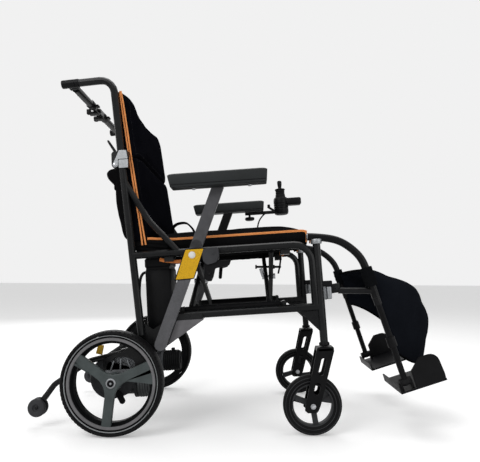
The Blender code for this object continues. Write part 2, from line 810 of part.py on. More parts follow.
def castor(side):
    """One castor: its swivelling fork, tyre and hub."""
    y = side * SIDE_Y
    axle_u, axle_w = castor_axle()
    centre = framed(axle_u, y, axle_w)
    top = POST_BOTTOM_W - GAP
    crown = 0.012
    cheek = CASTOR_WIDTH / 2 + 0.0065
    front = POST_U + 0.021
    rear = POST_U - 0.022
    foot = 0.0185
    high = top - 0.001
    outline = [(rear, high), (front - 0.009, high), (front, high - 0.009)]
    outline += arc((axle_u, axle_w), foot, -5, -180, 6)
    middle = (POST_U, top - crown)
    slots = []
    for start, end in ((0.22, 0.42), (0.56, 0.72)):
        first = tuple(a + (b - a) * start for a, b in zip(middle, (axle_u, axle_w)))
        last = tuple(a + (b - a) * end for a, b in zip(middle, (axle_u, axle_w)))
        slots.append(capsule(first, last, 0.004, 3))
    name = side_name(side)
    fork_centre = framed((front + rear) / 2, y, top - crown / 2)
    fork = block(name + "_castor_fork", (front - rear - 0.004, cheek * 2, crown), fork_centre, FRAME_TURN, 0.002, 1)
    stem_foot = framed(POST_U, y, top - crown / 2)
    stem_top = framed(POST_U, y, POST_BOTTOM_W + STEM_LENGTH)
    weld(
        fork,
        plate("outer_cheek", [outline] + slots, 0.004, frame_plane(y - cheek)),
        plate("inner_cheek", [outline] + slots, 0.004, frame_plane(y + cheek)),
        rod("stem", STEM_RADIUS, stem_foot, stem_top),
        disc("axle", centre, CASTOR_AXLE_RADIUS, cheek * 2 + 0.010, 12),
    )
    pivot = framed(POST_U, y, POST_BOTTOM_W)
    piece(fork, FRAME_PAINT, pivot)
    half_step = math.pi / CASTOR_STEPS
    placing = outward(side, centre, half_step)
    tyre = wheel_tyre(name + "_castor_tyre", placing, CASTOR_RADIUS, CASTOR_WIDTH, CASTOR_RIM + GAP, CASTOR_STEPS)
    piece(tyre, RUBBER)
    piece(wheel_rim(name + "_castor_hub", placing, CASTOR_HUB), FRAME_PAINT)


def anti_tip(side):
    """One anti-tip arm, plugged into its receiver, and the double wheel on its tip."""
    y = side * RECEIVER_Y
    name = side_name(side)
    wheel_centre = framed(ANTI_TIP_U, y, ANTI_TIP_W)
    knee = framed(ANTI_TIP_U + ANTI_TIP_KNEE[0], y, ANTI_TIP_W + ANTI_TIP_KNEE[1])
    tip = wheel_centre + (knee - wheel_centre).normalized() * (ANTI_TIP_RADIUS + 0.006)
    rear = framed(RECEIVER_REAR[0], y, RECEIVER_REAR[1])
    front = framed(RECEIVER_FRONT[0], y, RECEIVER_FRONT[1])
    along = (rear - front).normalized()
    path = rounded([front + along * 0.004, front + along * ANTI_TIP_REACH, knee, tip], 0.035, 2)
    arm = tube(name + "_anti_tip_arm", path, ANTI_TIP_TUBE)
    reach = tip - wheel_centre
    turn = reach.to_track_quat("Z", "Y").to_matrix().to_4x4()
    tongue = block("tongue", (0.009, 0.014, reach.length + 0.008), wheel_centre + reach * 0.62, turn)
    weld(arm, tongue, disc("eye", wheel_centre, 0.010, 0.009))
    piece(cut(arm, disc("eye_bore", wheel_centre, 0.0056, 0.03)), FRAME_PAINT)
    half = ANTI_TIP_WIDTH / 2
    core = 0.0048
    right = [
        (0, half),
        (ANTI_TIP_RADIUS - 0.003, half),
        (ANTI_TIP_RADIUS, half - 0.003),
        (ANTI_TIP_RADIUS, 0.0052),
        (core, 0.0052),
    ]
    profile = right + [(r, -z) for r, z in reversed(right)]
    piece(turned(name + "_anti_tip_wheel", profile, outward(side, wheel_centre), 14), RUBBER)


# Half-folding back, push handles and stretcher bar

HANDLE_DIP = math.radians(2.0)
BAR_INSET = 0.024
BAR_BARREL = 0.016
BARREL_RADIUS = 0.0085
LUG = 0.004
BAR_PIVOT_Y = SIDE_Y - 0.004 - GRIP_RADIUS - BARREL_RADIUS - RUNNING
HANDLE_Y = SIDE_Y - 0.004
MIDDLE_SLOT = 0.045
TONGUE = 0.008
TONGUE_REACH = 0.009


def handle_axis():
    """The rear end of the push handle's axis in u and w, and the unit step rearwards."""
    corner_u = back_u(HANDLE_W)
    step = (-math.cos(HANDLE_DIP), -math.sin(HANDLE_DIP))
    return corner_u + HANDLE_LENGTH * step[0], HANDLE_W + HANDLE_LENGTH * step[1], step


def on_handle(from_end, y):
    """A point on the push handle, counted forwards from its rear end."""
    end_u, end_w, step = handle_axis()
    return framed(end_u - from_end * step[0], y, end_w - from_end * step[1])


def upper_cane(side):
    """The upper cane with its push handle and the upper half of the folding hinge."""
    y = side * SIDE_Y
    handle_y = side * HANDLE_Y
    foot_w = HINGE_W + 0.010
    name = side_name(side)
    path = rounded(
        [framed(back_u(foot_w), y, foot_w), framed(back_u(HANDLE_W), handle_y, HANDLE_W), on_handle(0.001, handle_y)],
        HANDLE_BEND,
        5,
    )
    cane = tube(name + "_upper_cane", path, TUBE_RADIUS)
    low = HINGE_W + GAP
    high = HINGE_W + HINGE_HALF
    front = back_u(HINGE_W) + HINGE_FRONT
    rear = back_u(HINGE_W) - HINGE_REAR
    centre = framed((front + rear) / 2, y, (low + high) / 2)
    weld(cane, block("hinge_head", (front - rear, HINGE_WIDTH, high - low), centre, FRAME_TURN, 0.0015, 1))
    pivot = framed(HINGE_PIVOT_U, y, HINGE_PIVOT_W)
    cheek_rear = HINGE_PIVOT_U - HINGE_EAR
    cheek_high = HINGE_W + HINGE_HALF - 0.002
    for away in (-1, 1):
        cheek_y = y + away * (HINGE_WIDTH / 2 - CHEEK / 2 - 0.00025)
        outline = arc((HINGE_PIVOT_U, HINGE_PIVOT_W), HINGE_EAR, 180, 360, 6)
        outline += [(HINGE_PIVOT_U + HINGE_EAR, low), (rear + 0.004, low + 0.004), (rear + 0.004, cheek_high)]
        outline += [(cheek_rear + 0.004, cheek_high), (cheek_rear, cheek_high - 0.006)]
        weld(cane, plate("hinge_cheek", [outline], CHEEK, frame_plane(cheek_y)))
    weld(cane, disc("hinge_pin", pivot, 0.003, HINGE_WIDTH - 0.003))
    piece(cane, FRAME_PAINT, pivot)
    lever_pivot = (HINGE_PIVOT_U - 0.001, HINGE_W + 0.011)
    lever_tip = (lever_pivot[0] - 0.0175, lever_pivot[1] + 0.041)
    outline = arc(lever_pivot, 0.0055, 130, 400, 7)
    outline += [(lever_pivot[0] - 0.002, lever_pivot[1] + 0.014)] + arc(lever_tip, 0.0048, 30, 210, 4)
    lever = plate(name + "_hinge_lever", [outline], EAR_WIDTH, frame_plane(y))
    piece(lever, BLACK_PLASTIC, framed(lever_pivot[0], y, lever_pivot[1]))


def handle_end(side):
    """The moulded handle end, with the lugs and pin that carry the stretcher bar."""
    handle_y = side * HANDLE_Y
    name = side_name(side)
    grip = rod(name + "_handle_end", GRIP_RADIUS, on_handle(-0.002, handle_y), on_handle(GRIP_LENGTH, handle_y), 14)
    soften(grip, 0.003, 1)
    lug_in = BAR_PIVOT_Y - BARREL_RADIUS * 0.9
    lug_out = HANDLE_Y - GRIP_RADIUS + 0.0009
    for away in (-1, 1):
        along = BAR_INSET + away * (BAR_BARREL / 2 + GAP + LUG / 2)
        centre = on_handle(along, side * (lug_in + lug_out) / 2)
        turn = Matrix.Rotation(-FRAME_PITCH - HANDLE_DIP, 4, "Y")
        weld(grip, block("lug", (LUG, lug_out - lug_in, BARREL_RADIUS * 1.8), centre, turn))
    reach = BAR_BARREL / 2 + LUG * 0.8
    pivot_y = side * BAR_PIVOT_Y
    pin = rod("bar_pin", 0.003, on_handle(BAR_INSET - reach, pivot_y), on_handle(BAR_INSET + reach, pivot_y))
    bore = rod(
        "grip_bore",
        (TUBE_RADIUS + GAP) / math.cos(math.pi / 12),
        on_handle(GAP, handle_y),
        on_handle(GRIP_LENGTH + 0.01, handle_y),
    )
    cut(weld(grip, pin), bore)
    piece(grip, BLACK_PLASTIC)


def bar_half(side):
    """One half of the folding stretcher bar: a barrel on the handle, a tube, and a middle joint."""
    name = side_name(side)
    middle = on_handle(BAR_INSET, 0.0)
    pivot = on_handle(BAR_INSET, side * BAR_PIVOT_Y)
    half = BAR_BARREL / 2
    axis = (on_handle(BAR_INSET - half, side * BAR_PIVOT_Y), on_handle(BAR_INSET + half, side * BAR_PIVOT_Y))
    inner = Vector((0, -side, 0))
    tube_start = pivot + inner * 0.0125
    tube_end = middle - inner * MIDDLE_SLOT
    bar = rod(name + "_stretcher_bar", BAR_RADIUS, tube_start, tube_end, 16)
    weld(bar, rod("barrel", BARREL_RADIUS, *axis, 16), rod("neck", 0.006, pivot, tube_start + inner * 0.004))
    turn = Matrix.Rotation(-FRAME_PITCH - HANDLE_DIP, 4, "Y")
    forward = turn @ Vector((1, 0, 0))
    offsets = (0.0,) if side < 0 else (-(TONGUE / 2 + RUNNING + 0.0022), TONGUE / 2 + RUNNING + 0.0022)
    thickness = TONGUE if side < 0 else 0.0044
    for offset in offsets:
        # The strap runs from inside the tube to just past the middle, with a round end
        reach = MIDDLE_SLOT + 0.006
        placing = Matrix.Translation(middle + forward * offset) @ turn @ Matrix.Rotation(math.radians(90), 4, "Y")
        outline = capsule((0, side * reach), (0, 0), TONGUE_REACH, 8)
        strap = plate("strap", [outline], thickness, placing)
        weld(bar, strap)
    if side > 0:
        for away in (-1, 1):
            inside = middle + forward * away * (TONGUE / 2 + RUNNING + 0.003)
            weld(bar, rod("bolt_head", 0.006, inside, inside + forward * away * 0.0045))
    bore_start = on_handle(BAR_INSET - half - 0.004, side * BAR_PIVOT_Y)
    bore_end = on_handle(BAR_INSET + half + 0.004, side * BAR_PIVOT_Y)
    cut(bar, rod("barrel_bore", 0.003 + RUNNING, bore_start, bore_end))
    piece(bar, FRAME_PAINT, pivot)


# Armrests and controller

ARM_LAP = 0.018
ARM_TONGUE = 0.006
ARM_BOLT = 0.005


def armrest(side):
    """One armrest: the bar bolted to the frame, the post that lifts, and the pad."""
    name = side_name(side)
    half = ARM_BAR_WIDTH / 2
    round_end = half - GAP
    inner_y = side * (ARM_Y - ARM_BAR_THICKNESS / 2 + ARM_TONGUE / 2)
    outer_y = side * (ARM_Y + ARM_BAR_THICKNESS / 2 - ARM_TONGUE / 2)
    foot = -(ARM_PIVOT_W - ARM_BAR_FOOT_W) / math.cos(ARM_TILT)
    bar_outline = [(-half, -ARM_LAP), (-half, foot)] + arc((0, foot), half, 180, 360, 6)[1:] + [(half, -ARM_LAP)]
    bar = plate(name + "_armrest_bar", [bar_outline], ARM_BAR_THICKNESS, arm_plane(side * ARM_Y))
    weld(bar, plate("tongue", [capsule((0, -ARM_LAP * 1.6), (0, 0), round_end, 6)], ARM_TONGUE, arm_plane(inner_y)))
    pivot = framed(ARM_PIVOT_U, side * ARM_Y, ARM_PIVOT_W)
    piece(cut(bar, disc("bolt_bore", pivot, ARM_BOLT + RUNNING, 0.04)), GREY_PAINT)
    head_w = PAD_W - 0.009
    top = (head_w - ARM_PIVOT_W) / math.cos(ARM_TILT)
    post_outline = [(-half, ARM_LAP), (half, ARM_LAP), (half, top), (-half, top)]
    post = plate(name + "_armrest_post", [post_outline], ARM_BAR_THICKNESS, arm_plane(side * ARM_Y))
    weld(post, plate("cheek", [capsule((0, ARM_LAP * 1.6), (0, 0), round_end, 6)], ARM_TONGUE, arm_plane(outer_y)))
    bolt_in = Vector((pivot.x, side * (ARM_Y - ARM_BAR_THICKNESS / 2 + 0.0005), pivot.z))
    bolt_out = Vector((pivot.x, side * (ARM_Y + ARM_BAR_THICKNESS / 2 + 0.002), pivot.z))
    weld(post, rod("pivot_bolt", ARM_BOLT, bolt_in, bolt_out))
    flange = 0.004
    flange_centre = framed(arm_u(PAD_W) + 0.008, side * (PAD_Y - 0.002), PAD_W - GAP - flange / 2)
    weld(post, block("pad_flange", (0.100, PAD_WIDTH - 0.010, flange), flange_centre, FRAME_TURN))
    piece(post, BLACK_PLASTIC if side > 0 else GREY_PAINT, pivot)
    low = PAD_W
    high = PAD_W + PAD_HEIGHT
    front = PAD_FRONT_U
    outline = [
        (PAD_REAR_U + 0.009, low),
        (front - 0.002, low),
        (front, low + 0.006),
        (front, high - 0.004),
        (front - 0.010, high),
        (PAD_REAR_U + 0.004, high - 0.002),
        (PAD_REAR_U, high - 0.008),
    ]
    pad = plate(name + "_armrest_pad", [outline], PAD_WIDTH, frame_plane(side * PAD_Y))
    soften(pad, 0.005, 2, math.radians(60))
    piece(pad, PAD_FOAM)


def armrest_latch(side):
    """The moulded latch housing on the outside of the seat rail."""
    inner = SIDE_Y + TUBE_RADIUS + GAP
    depth = 0.018
    rear = arm_u(SEAT_RAIL_W + 0.006) + ARM_BAR_WIDTH / 2 / math.cos(ARM_TILT) + 0.0012
    low = SEAT_RAIL_W - 0.038
    high = SEAT_RAIL_W + 0.006
    outline = [
        (rear, low + 0.010),
        (rear + 0.008, low),
        (rear + 0.034, low + 0.006),
        (rear + 0.042, low + 0.016),
        (rear + 0.042, high - 0.006),
        (rear + 0.036, high),
        (rear + 0.006, high),
        (rear, high - 0.008),
    ]
    y = side * (inner + depth / 2)
    housing = plate(side_name(side) + "_armrest_latch", [outline], depth, frame_plane(y))
    soften(housing, 0.003, 1, math.radians(60))
    tab = capsule((rear + 0.012, low + 0.012), (rear + 0.006, low - 0.030), 0.006, 6)
    weld(housing, plate("latch_tab", [tab], 0.006, frame_plane(side * (inner + 0.006))))
    piece(housing, GREY_PLASTIC)


CONTROLLER_U = PAD_FRONT_U + CONTROLLER_GAP
CONTROLLER_W = PAD_W - CONTROLLER_DROP
CONTROLLER_Y = 0.268
STICK_U = CONTROLLER_U + 0.022
STICK_W = CONTROLLER_W + CONTROLLER_HEIGHT + 0.001
BUTTON_RADIUS = 0.0055
BUTTON_U = CONTROLLER_U + CONTROLLER_LENGTH + 0.026


def controller():
    """The joystick controller on the left armrest, with its bellows, stick and power button."""
    rear = CONTROLLER_U
    front = rear + CONTROLLER_LENGTH
    low = CONTROLLER_W
    high = low + CONTROLLER_HEIGHT
    nose = front + 0.045
    nose_top = high - 0.009
    outline = [
        (rear + 0.003, low + 0.004),
        (front - 0.006, low),
        (front, low + 0.010),
        (front, low + 0.038),
        (nose, low + 0.041),
        (nose, nose_top),
        (front + 0.004, nose_top),
        (front - 0.002, high),
        (rear, high),
    ]
    body = plate("controller_body", [outline], CONTROLLER_WIDTH, frame_plane(CONTROLLER_Y))
    soften(body, 0.0040, 1, math.radians(50))
    arm_rear = PAD_FRONT_U - 0.071
    arm_w = PAD_W - GAP - 0.006
    arm_centre = framed((arm_rear + rear + 0.006) / 2, PAD_Y, arm_w)
    weld(body, block("controller_arm", (rear + 0.006 - arm_rear, 0.014, 0.012), arm_centre, FRAME_TURN))
    knob_u = arm_rear + 0.016
    stem_top = framed(knob_u, PAD_Y, arm_w)
    stem_foot = framed(knob_u, PAD_Y, arm_w - 0.014)
    knob_foot = framed(knob_u, PAD_Y, arm_w - 0.026)
    stem = rod("clamp_stem", 0.004, (stem_foot + knob_foot) / 2, stem_top)
    weld(body, stem, rod("clamp_knob", 0.017, knob_foot, stem_foot, 16))
    button_top = framed(BUTTON_U, CONTROLLER_Y, nose_top)
    well_foot = framed(BUTTON_U, CONTROLLER_Y, nose_top - 0.005)
    well_mouth = framed(BUTTON_U, CONTROLLER_Y, nose_top + 0.01)
    well = rod("button_well", BUTTON_RADIUS + RUNNING, well_foot, well_mouth, 12)
    stick_well = rod(
        "stick_well",
        0.0105,
        framed(STICK_U, CONTROLLER_Y, high - 0.009),
        framed(STICK_U, CONTROLLER_Y, high + 0.01),
        16,
    )
    piece(cut(body, well, stick_well), BLACK_PLASTIC)
    stalk = 0.0042
    button_foot = framed(BUTTON_U, CONTROLLER_Y, nose_top - 0.0035)
    button_cap = framed(BUTTON_U, CONTROLLER_Y, nose_top + 0.0015)
    button = rod("power_button", BUTTON_RADIUS, button_foot, button_cap, 12)
    piece(button, RUBBER, button_top)
    base = Matrix.Translation(framed(STICK_U, CONTROLLER_Y, STICK_W)) @ FRAME_TURN
    bellows = [
        (stalk + RUNNING, 0.0265),
        (0.0075, 0.0265),
        (0.0085, 0.024),
        (0.0075, 0.0215),
        (0.0110, 0.0185),
        (0.0095, 0.0155),
        (0.0135, 0.0120),
        (0.0120, 0.0085),
        (0.0160, 0.0050),
        (0.0160, -0.0006),
        (0.0120, -0.0006),
        (0.0105, 0.0060),
        (stalk + RUNNING, 0.0200),
    ]
    piece(turned("joystick_boot", bellows, base, 12, closed=True), RUBBER)
    stick = [
        (0, 0.053),
        (0.006, 0.0525),
        (0.0105, 0.0495),
        (0.0120, 0.0450),
        (0.0110, 0.0370),
        (0.0080, 0.0290),
        (stalk, 0.0270),
        (stalk, 0.0020),
        (0.0072, -0.0010),
        (0.0076, -0.0040),
        (0.0060, -0.0070),
        (0, -0.0085),
    ]
    piece(turned("joystick_knob", stick, base, 12), BLACK_PLASTIC)


# Drive, battery and cables

GEARBOX_OUT = MOUNT_Y - PLATE / 2 - GAP
GEARBOX_DEPTH = 0.040
MOTOR_Y = 0.183
MOTOR_W = -0.022
MOTOR_U = 0.048
GLAND_U = 0.078
GLAND_W = 0.019


def drive(side):
    """One drive unit: the worm gearbox on the motor plate, its motor and freewheel lever."""
    name = side_name(side)
    out = side * GEARBOX_OUT
    axle = framed(0, out - side * GEARBOX_DEPTH, 0)
    depth = GEARBOX_DEPTH
    radius = GEARBOX_RADIUS
    profile = [
        (0, depth),
        (radius, depth),
        (radius, depth - 0.010),
        (radius * 0.92, depth - 0.012),
        (radius * 0.90, 0.006),
        (radius * 0.60, 0.0),
        (0, 0.0),
    ]
    gearbox = turned(name + "_gearbox", profile, outward(side, axle), 20)
    shaft_end = framed(0, side * (WHEEL_Y - 0.001), 0)
    inside = framed(0, out - side * 0.004, 0)
    boss_end = framed(0, side * (WHEEL_Y - WHEEL_WIDTH / 2 - GAP), 0)
    foot_centre = framed(0.008, out - side * 0.018, 0.031)
    worm_rear = framed(-0.034, side * MOTOR_Y, MOTOR_W)
    worm_front = framed(MOTOR_U - GAP, side * MOTOR_Y, MOTOR_W)
    weld(
        gearbox,
        rod("boss", 0.016, inside, boss_end, 12),
        rod("drive_shaft", SHAFT_RADIUS, inside, shaft_end),
        block("gearbox_foot", (0.084, 0.036, 0.018), foot_centre, FRAME_TURN),
        rod("worm_housing", 0.025, worm_rear, worm_front),
        rod("motor_flange", MOTOR_RADIUS, framed(MOTOR_U - 0.008, side * MOTOR_Y, MOTOR_W), worm_front, 16),
    )
    piece(gearbox, ALUMINIUM)
    length = MOTOR_LENGTH
    ribs = 3
    outline = [(0, 0), (MOTOR_RADIUS, 0), (MOTOR_RADIUS, -0.008)]
    pitch = (length - 0.030) / ribs
    for i in range(ribs):
        start = 0.008 + pitch * i
        outline += [(MOTOR_RADIUS - 0.003, -start - pitch * 0.15), (MOTOR_RADIUS - 0.003, -start - pitch * 0.55)]
        outline += [(MOTOR_RADIUS, -start - pitch * 0.65), (MOTOR_RADIUS, -start - pitch)]
    outline += [(MOTOR_RADIUS - 0.002, -length + 0.016), (MOTOR_RADIUS - 0.002, -length + 0.004)]
    outline += [(MOTOR_RADIUS - 0.007, -length), (0, -length)]
    turn = Matrix.Rotation(math.radians(-90) - FRAME_PITCH, 4, "Y")
    placing = Matrix.Translation(framed(MOTOR_U, side * MOTOR_Y, MOTOR_W)) @ turn
    motor = turned(name + "_motor", outline, placing, 14)
    gland_foot = framed(GLAND_U, side * MOTOR_Y, MOTOR_W + MOTOR_RADIUS * 0.8)
    gland_top = framed(GLAND_U, side * MOTOR_Y, GLAND_W)
    piece(weld(motor, rod("cable_gland", 0.0065, gland_foot, gland_top)), BLACK_PLASTIC)
    lever_y = side * (GEARBOX_OUT + GAP + 0.003)
    pivot = (0.002, -0.036)
    tip = (pivot[0] + 0.010, pivot[1] - 0.020)
    lever = plate(name + "_freewheel_lever", [capsule(pivot, tip, 0.007)], 0.006, frame_plane(lever_y))
    piece(lever, BLACK_PLASTIC, framed(pivot[0], lever_y, pivot[1]))


def battery():
    """The battery case on its shelf inside the right frame, with its lid line and top cap."""
    rear = BATTERY_U
    front = rear + BATTERY_LENGTH
    y = BATTERY_Y + BATTERY_WIDTH / 2
    low = BATTERY_W
    lid = BATTERY_W + BATTERY_HEIGHT - 0.030
    high = BATTERY_W + BATTERY_HEIGHT
    middle = (rear + front) / 2
    case = block(
        "battery", (BATTERY_LENGTH, BATTERY_WIDTH, lid - low), framed(middle, y, (low + lid) / 2), FRAME_TURN, 0.006, 2
    )
    neck = block("lid_line", (BATTERY_LENGTH - 0.006, BATTERY_WIDTH - 0.006, 0.012), framed(middle, y, lid), FRAME_TURN)
    cap_centre = framed(middle, y, (lid + 0.003 + high) / 2)
    cap = block("lid", (BATTERY_LENGTH, BATTERY_WIDTH, high - lid - 0.003), cap_centre, FRAME_TURN, 0.004, 1)
    piece(weld(case, neck, cap), BLACK_PLASTIC)


def smooth_route(route, count):
    """Evenly numbered points of a smooth curve through a route's own points."""
    padded = [route[0] * 2 - route[1]] + route + [route[-1] * 2 - route[-2]]
    spans = len(route) - 1
    points = []
    for i in range(count):
        place = spans * i / (count - 1)
        span = min(int(place), spans - 1)
        t = place - span
        a, b, c, d = padded[span : span + 4]
        points.append(
            0.5
            * (2 * b + (c - a) * t + (2 * a - 5 * b + 4 * c - d) * t * t + (3 * b - a - 3 * c + d) * t * t * t)
        )
    return points


# Each route is in frame coordinates, in metres: u, y and w
CONTROLLER_CABLE = [
    (0.4586, 0.2510, 0.4690),
    (0.4528, 0.2510, 0.4690),
    (0.4446, 0.2510, 0.4666),
    (0.4362, 0.2510, 0.4607),
    (0.4275, 0.2510, 0.4513),
    (0.4176, 0.2510, 0.4389),
    (0.4065, 0.2500, 0.4237),
    (0.3943, 0.2475, 0.4065),
    (0.3811, 0.2440, 0.3894),
    (0.3691, 0.2395, 0.3752),
    (0.3588, 0.2350, 0.3639),
    (0.3511, 0.2312, 0.3554),
    (0.3463, 0.2290, 0.3470),
    (0.3450, 0.2280, 0.3400),
    (0.3450, 0.2280, 0.3344),
]
MOTOR_CABLE = [
    (0.0780, -0.1830, 0.0194),
    (0.0780, -0.1830, 0.0260),
    (0.0750, -0.1820, 0.0380),
    (0.0670, -0.1800, 0.0530),
    (0.0580, -0.1760, 0.0720),
    (0.0530, -0.1700, 0.0980),
    (0.0510, -0.1640, 0.1300),
    (0.0505, -0.1580, 0.1650),
    (0.0510, -0.1540, 0.2000),
    (0.0520, -0.1515, 0.2300),
    (0.0550, -0.1500, 0.2520),
    (0.0610, -0.1500, 0.2650),
    (0.0680, -0.1500, 0.2695),
    (0.0756, -0.1500, 0.2700),
]
CONTROLLER_CABLE_RADIUS = 0.0026
MOTOR_CABLE_RADIUS = 0.0040


def cables():
    """The controller's cable and the right motor's cable, each along its whole route."""
    route = [framed(*point) for point in CONTROLLER_CABLE]
    piece(tube("controller_cable", smooth_route(route, 17), CONTROLLER_CABLE_RADIUS, 2), RUBBER)
    route = [framed(*point) for point in MOTOR_CABLE]
    piece(tube("motor_cable", smooth_route(route, 17), MOTOR_CABLE_RADIUS, 2), RUBBER)


# X-braces

LEG_ANGLE = math.atan2(BRACE_HIGH_W - BRACE_LOW_W, 2 * BRACE_HALF_SPAN)
LEG_SPAN = math.hypot(BRACE_HIGH_W - BRACE_LOW_W, 2 * BRACE_HALF_SPAN)


def cross_brace(name, low_side, shift):
    """One of the two crossing frames: two legs, the pivot tube at their feet, the seat tube on top."""
    high_side = -low_side
    foot_y = low_side * BRACE_HALF_SPAN
    head_y = high_side * BRACE_HALF_SPAN
    brace = rod(
        name,
        SEAT_TUBE_RADIUS,
        framed(SEAT_TUBE_REAR_U, head_y, BRACE_HIGH_W),
        framed(SEAT_TUBE_FRONT_U, head_y, BRACE_HIGH_W),
    )
    foot = rod(
        "pivot_tube",
        PIVOT_TUBE_RADIUS,
        framed(PIVOT_TUBE_REAR_U, foot_y, BRACE_LOW_W),
        framed(PIVOT_TUBE_FRONT_U, foot_y, BRACE_LOW_W),
    )
    weld(brace, foot)
    lean = FRAME_TURN @ Matrix.Rotation(high_side * LEG_ANGLE, 4, "X")
    bolts = []
    for u in (BRACE_REAR_U, BRACE_FRONT_U):
        centre = framed(u + shift, 0, CENTRE_W)
        size = (LEG_THICKNESS, LEG_SPAN - LEG_DEPTH / 2, LEG_DEPTH)
        weld(brace, block("leg", size, centre, lean, LEG_CORNER, 1))
        before = framed(u + shift - 0.03, 0, CENTRE_W)
        after = framed(u + shift + 0.03, 0, CENTRE_W)
        bolts.append(rod("bolt_bore", BOLT_RADIUS + RUNNING, before, after))
    cut(brace, *bolts)
    for tube_end, away in ((PIVOT_TUBE_REAR_U, -1), (PIVOT_TUBE_FRONT_U, 1)):
        mouth = framed(tube_end + away * 0.005, foot_y, BRACE_LOW_W)
        end = framed(tube_end - away * (PIVOT_PIN_LENGTH + 0.001), foot_y, BRACE_LOW_W)
        cut(brace, rod("pin_bore", PIVOT_PIN_RADIUS + RUNNING, mouth, end))
    pivot = framed(PIVOT_TUBE_REAR_U, foot_y, BRACE_LOW_W) if low_side < 0 else framed(BRACE_REAR_U, 0, CENTRE_W)
    return piece(brace, FRAME_PAINT, pivot)


def centre_bolt(name, u):
    """The bolt that two crossing legs turn on."""
    rear = u - BRACE_STAGGER / 2 - LEG_THICKNESS / 2 - GAP
    front = u + BRACE_STAGGER / 2 + LEG_THICKNESS / 2 + GAP
    bolt = rod(name, BOLT_RADIUS, framed(rear - 0.004, 0, CENTRE_W), framed(front + 0.006, 0, CENTRE_W))
    head = rod("bolt_head", 0.008, framed(rear - 0.005, 0, CENTRE_W), framed(rear, 0, CENTRE_W), 6)
    nut = rod("bolt_nut", 0.008, framed(front, 0, CENTRE_W), framed(front + 0.007, 0, CENTRE_W), 6)
    piece(weld(bolt, head, nut), STEEL)


# Legrests

CLAMP_W = 0.194
SADDLE = 0.0055


def hanger(side):
    """The swing-away legrest hanger, pinned in the post's top and resting on a saddle below."""
    name = side_name(side)
    post_y = side * SIDE_Y
    y = side * HANGER_Y
    cap_foot = framed(POST_U, post_y, POST_TOP_W + GAP)
    cap_top = framed(POST_U, post_y, POST_TOP_W + CAP_HEIGHT)
    pin_foot = framed(POST_U, post_y, POST_TOP_W - HANGER_PIN_LENGTH)
    start = ground(POST_TOP_X + TUBE_RADIUS + 0.0015, y, CORNER_Z)
    path = rounded([start, ground(CORNER_X, y, CORNER_Z), legged(0, y, HANGER_DROP)], HANGER_BEND, 6)
    arm = tube(name + "_hanger", path, TUBE_RADIUS)
    pin_top = framed(POST_U, post_y, POST_TOP_W + CAP_HEIGHT * 0.7)
    neck_low = POST_TOP_W + GAP + 0.001
    neck_high = POST_TOP_W + CAP_HEIGHT - 0.001
    neck_centre = framed(POST_U + 0.010, side * (SIDE_Y + HANGER_Y) / 2, (neck_low + neck_high) / 2)
    weld(
        arm,
        rod("cap", 0.0135, cap_foot, cap_top, 16),
        block("cap_neck", (0.020, 0.015, neck_high - neck_low), neck_centre, FRAME_TURN),
        rod("hanger_pin", HANGER_PIN_RADIUS, pin_foot, pin_top),
    )
    clamp = framed(POST_U, post_y, CLAMP_W)
    half = framed(POST_U, post_y, CLAMP_W + 0.016) - clamp
    inner = TUBE_RADIUS + RUNNING
    saddle = arc((0, 0), inner + SADDLE, -42, 42, 4) + arc((0, 0), inner / math.cos(math.radians(10.5)), 42, -42, 4)
    saddle_placing = Matrix.Translation(clamp) @ FRAME_TURN
    arm_start = framed(POST_U + inner + 0.003, post_y, CLAMP_W)
    bracket_x = POST_TOP_X + 0.060
    bracket_end = ground(bracket_x, y, clamp.z + 0.004)
    strut_end = legged(0, y, HANGER_DROP - 0.012)
    reach = bracket_end - arm_start
    turn = reach.to_track_quat("X", "Z").to_matrix().to_4x4()
    weld(
        arm,
        plate("saddle", [saddle], half.length * 2, saddle_placing),
        block("clamp_block", (reach.length, 0.011, 0.024), arm_start + reach / 2, turn),
        block("lock_block", (0.024, 0.016, 0.014), framed(POST_U + 0.024, side * 0.225, CLAMP_W + 0.018), FRAME_TURN),
        tube("strut", [ground(bracket_x - 0.006, y, strut_end.z), strut_end], 0.0065, 2),
    )
    return piece(arm, FRAME_PAINT, framed(POST_U, post_y, POST_TOP_W))


def leg_tube(side):
    """The lower leg tube, with the barrel that the footplate hinges on."""
    y = side * HANGER_Y
    hinge = LEG_LENGTH - FOOT_HINGE_RISE
    start = legged(0, y, HANGER_DROP + GAP)
    leg = rod(side_name(side) + "_leg_tube", LEG_TUBE_RADIUS, start, legged(0, y, hinge + 0.009))
    weld(
        leg,
        rod("leg_collar", TUBE_RADIUS, start, legged(0, y, HANGER_DROP + 0.020)),
        rod("foot_barrel", 0.010, legged(-0.0105, y, hinge), legged(0.0105, y, hinge)),
    )
    bore = rod("barrel_bore", BOLT_RADIUS + RUNNING, legged(-0.03, y, hinge), legged(0.03, y, hinge))
    return piece(cut(leg, bore), FRAME_PAINT)


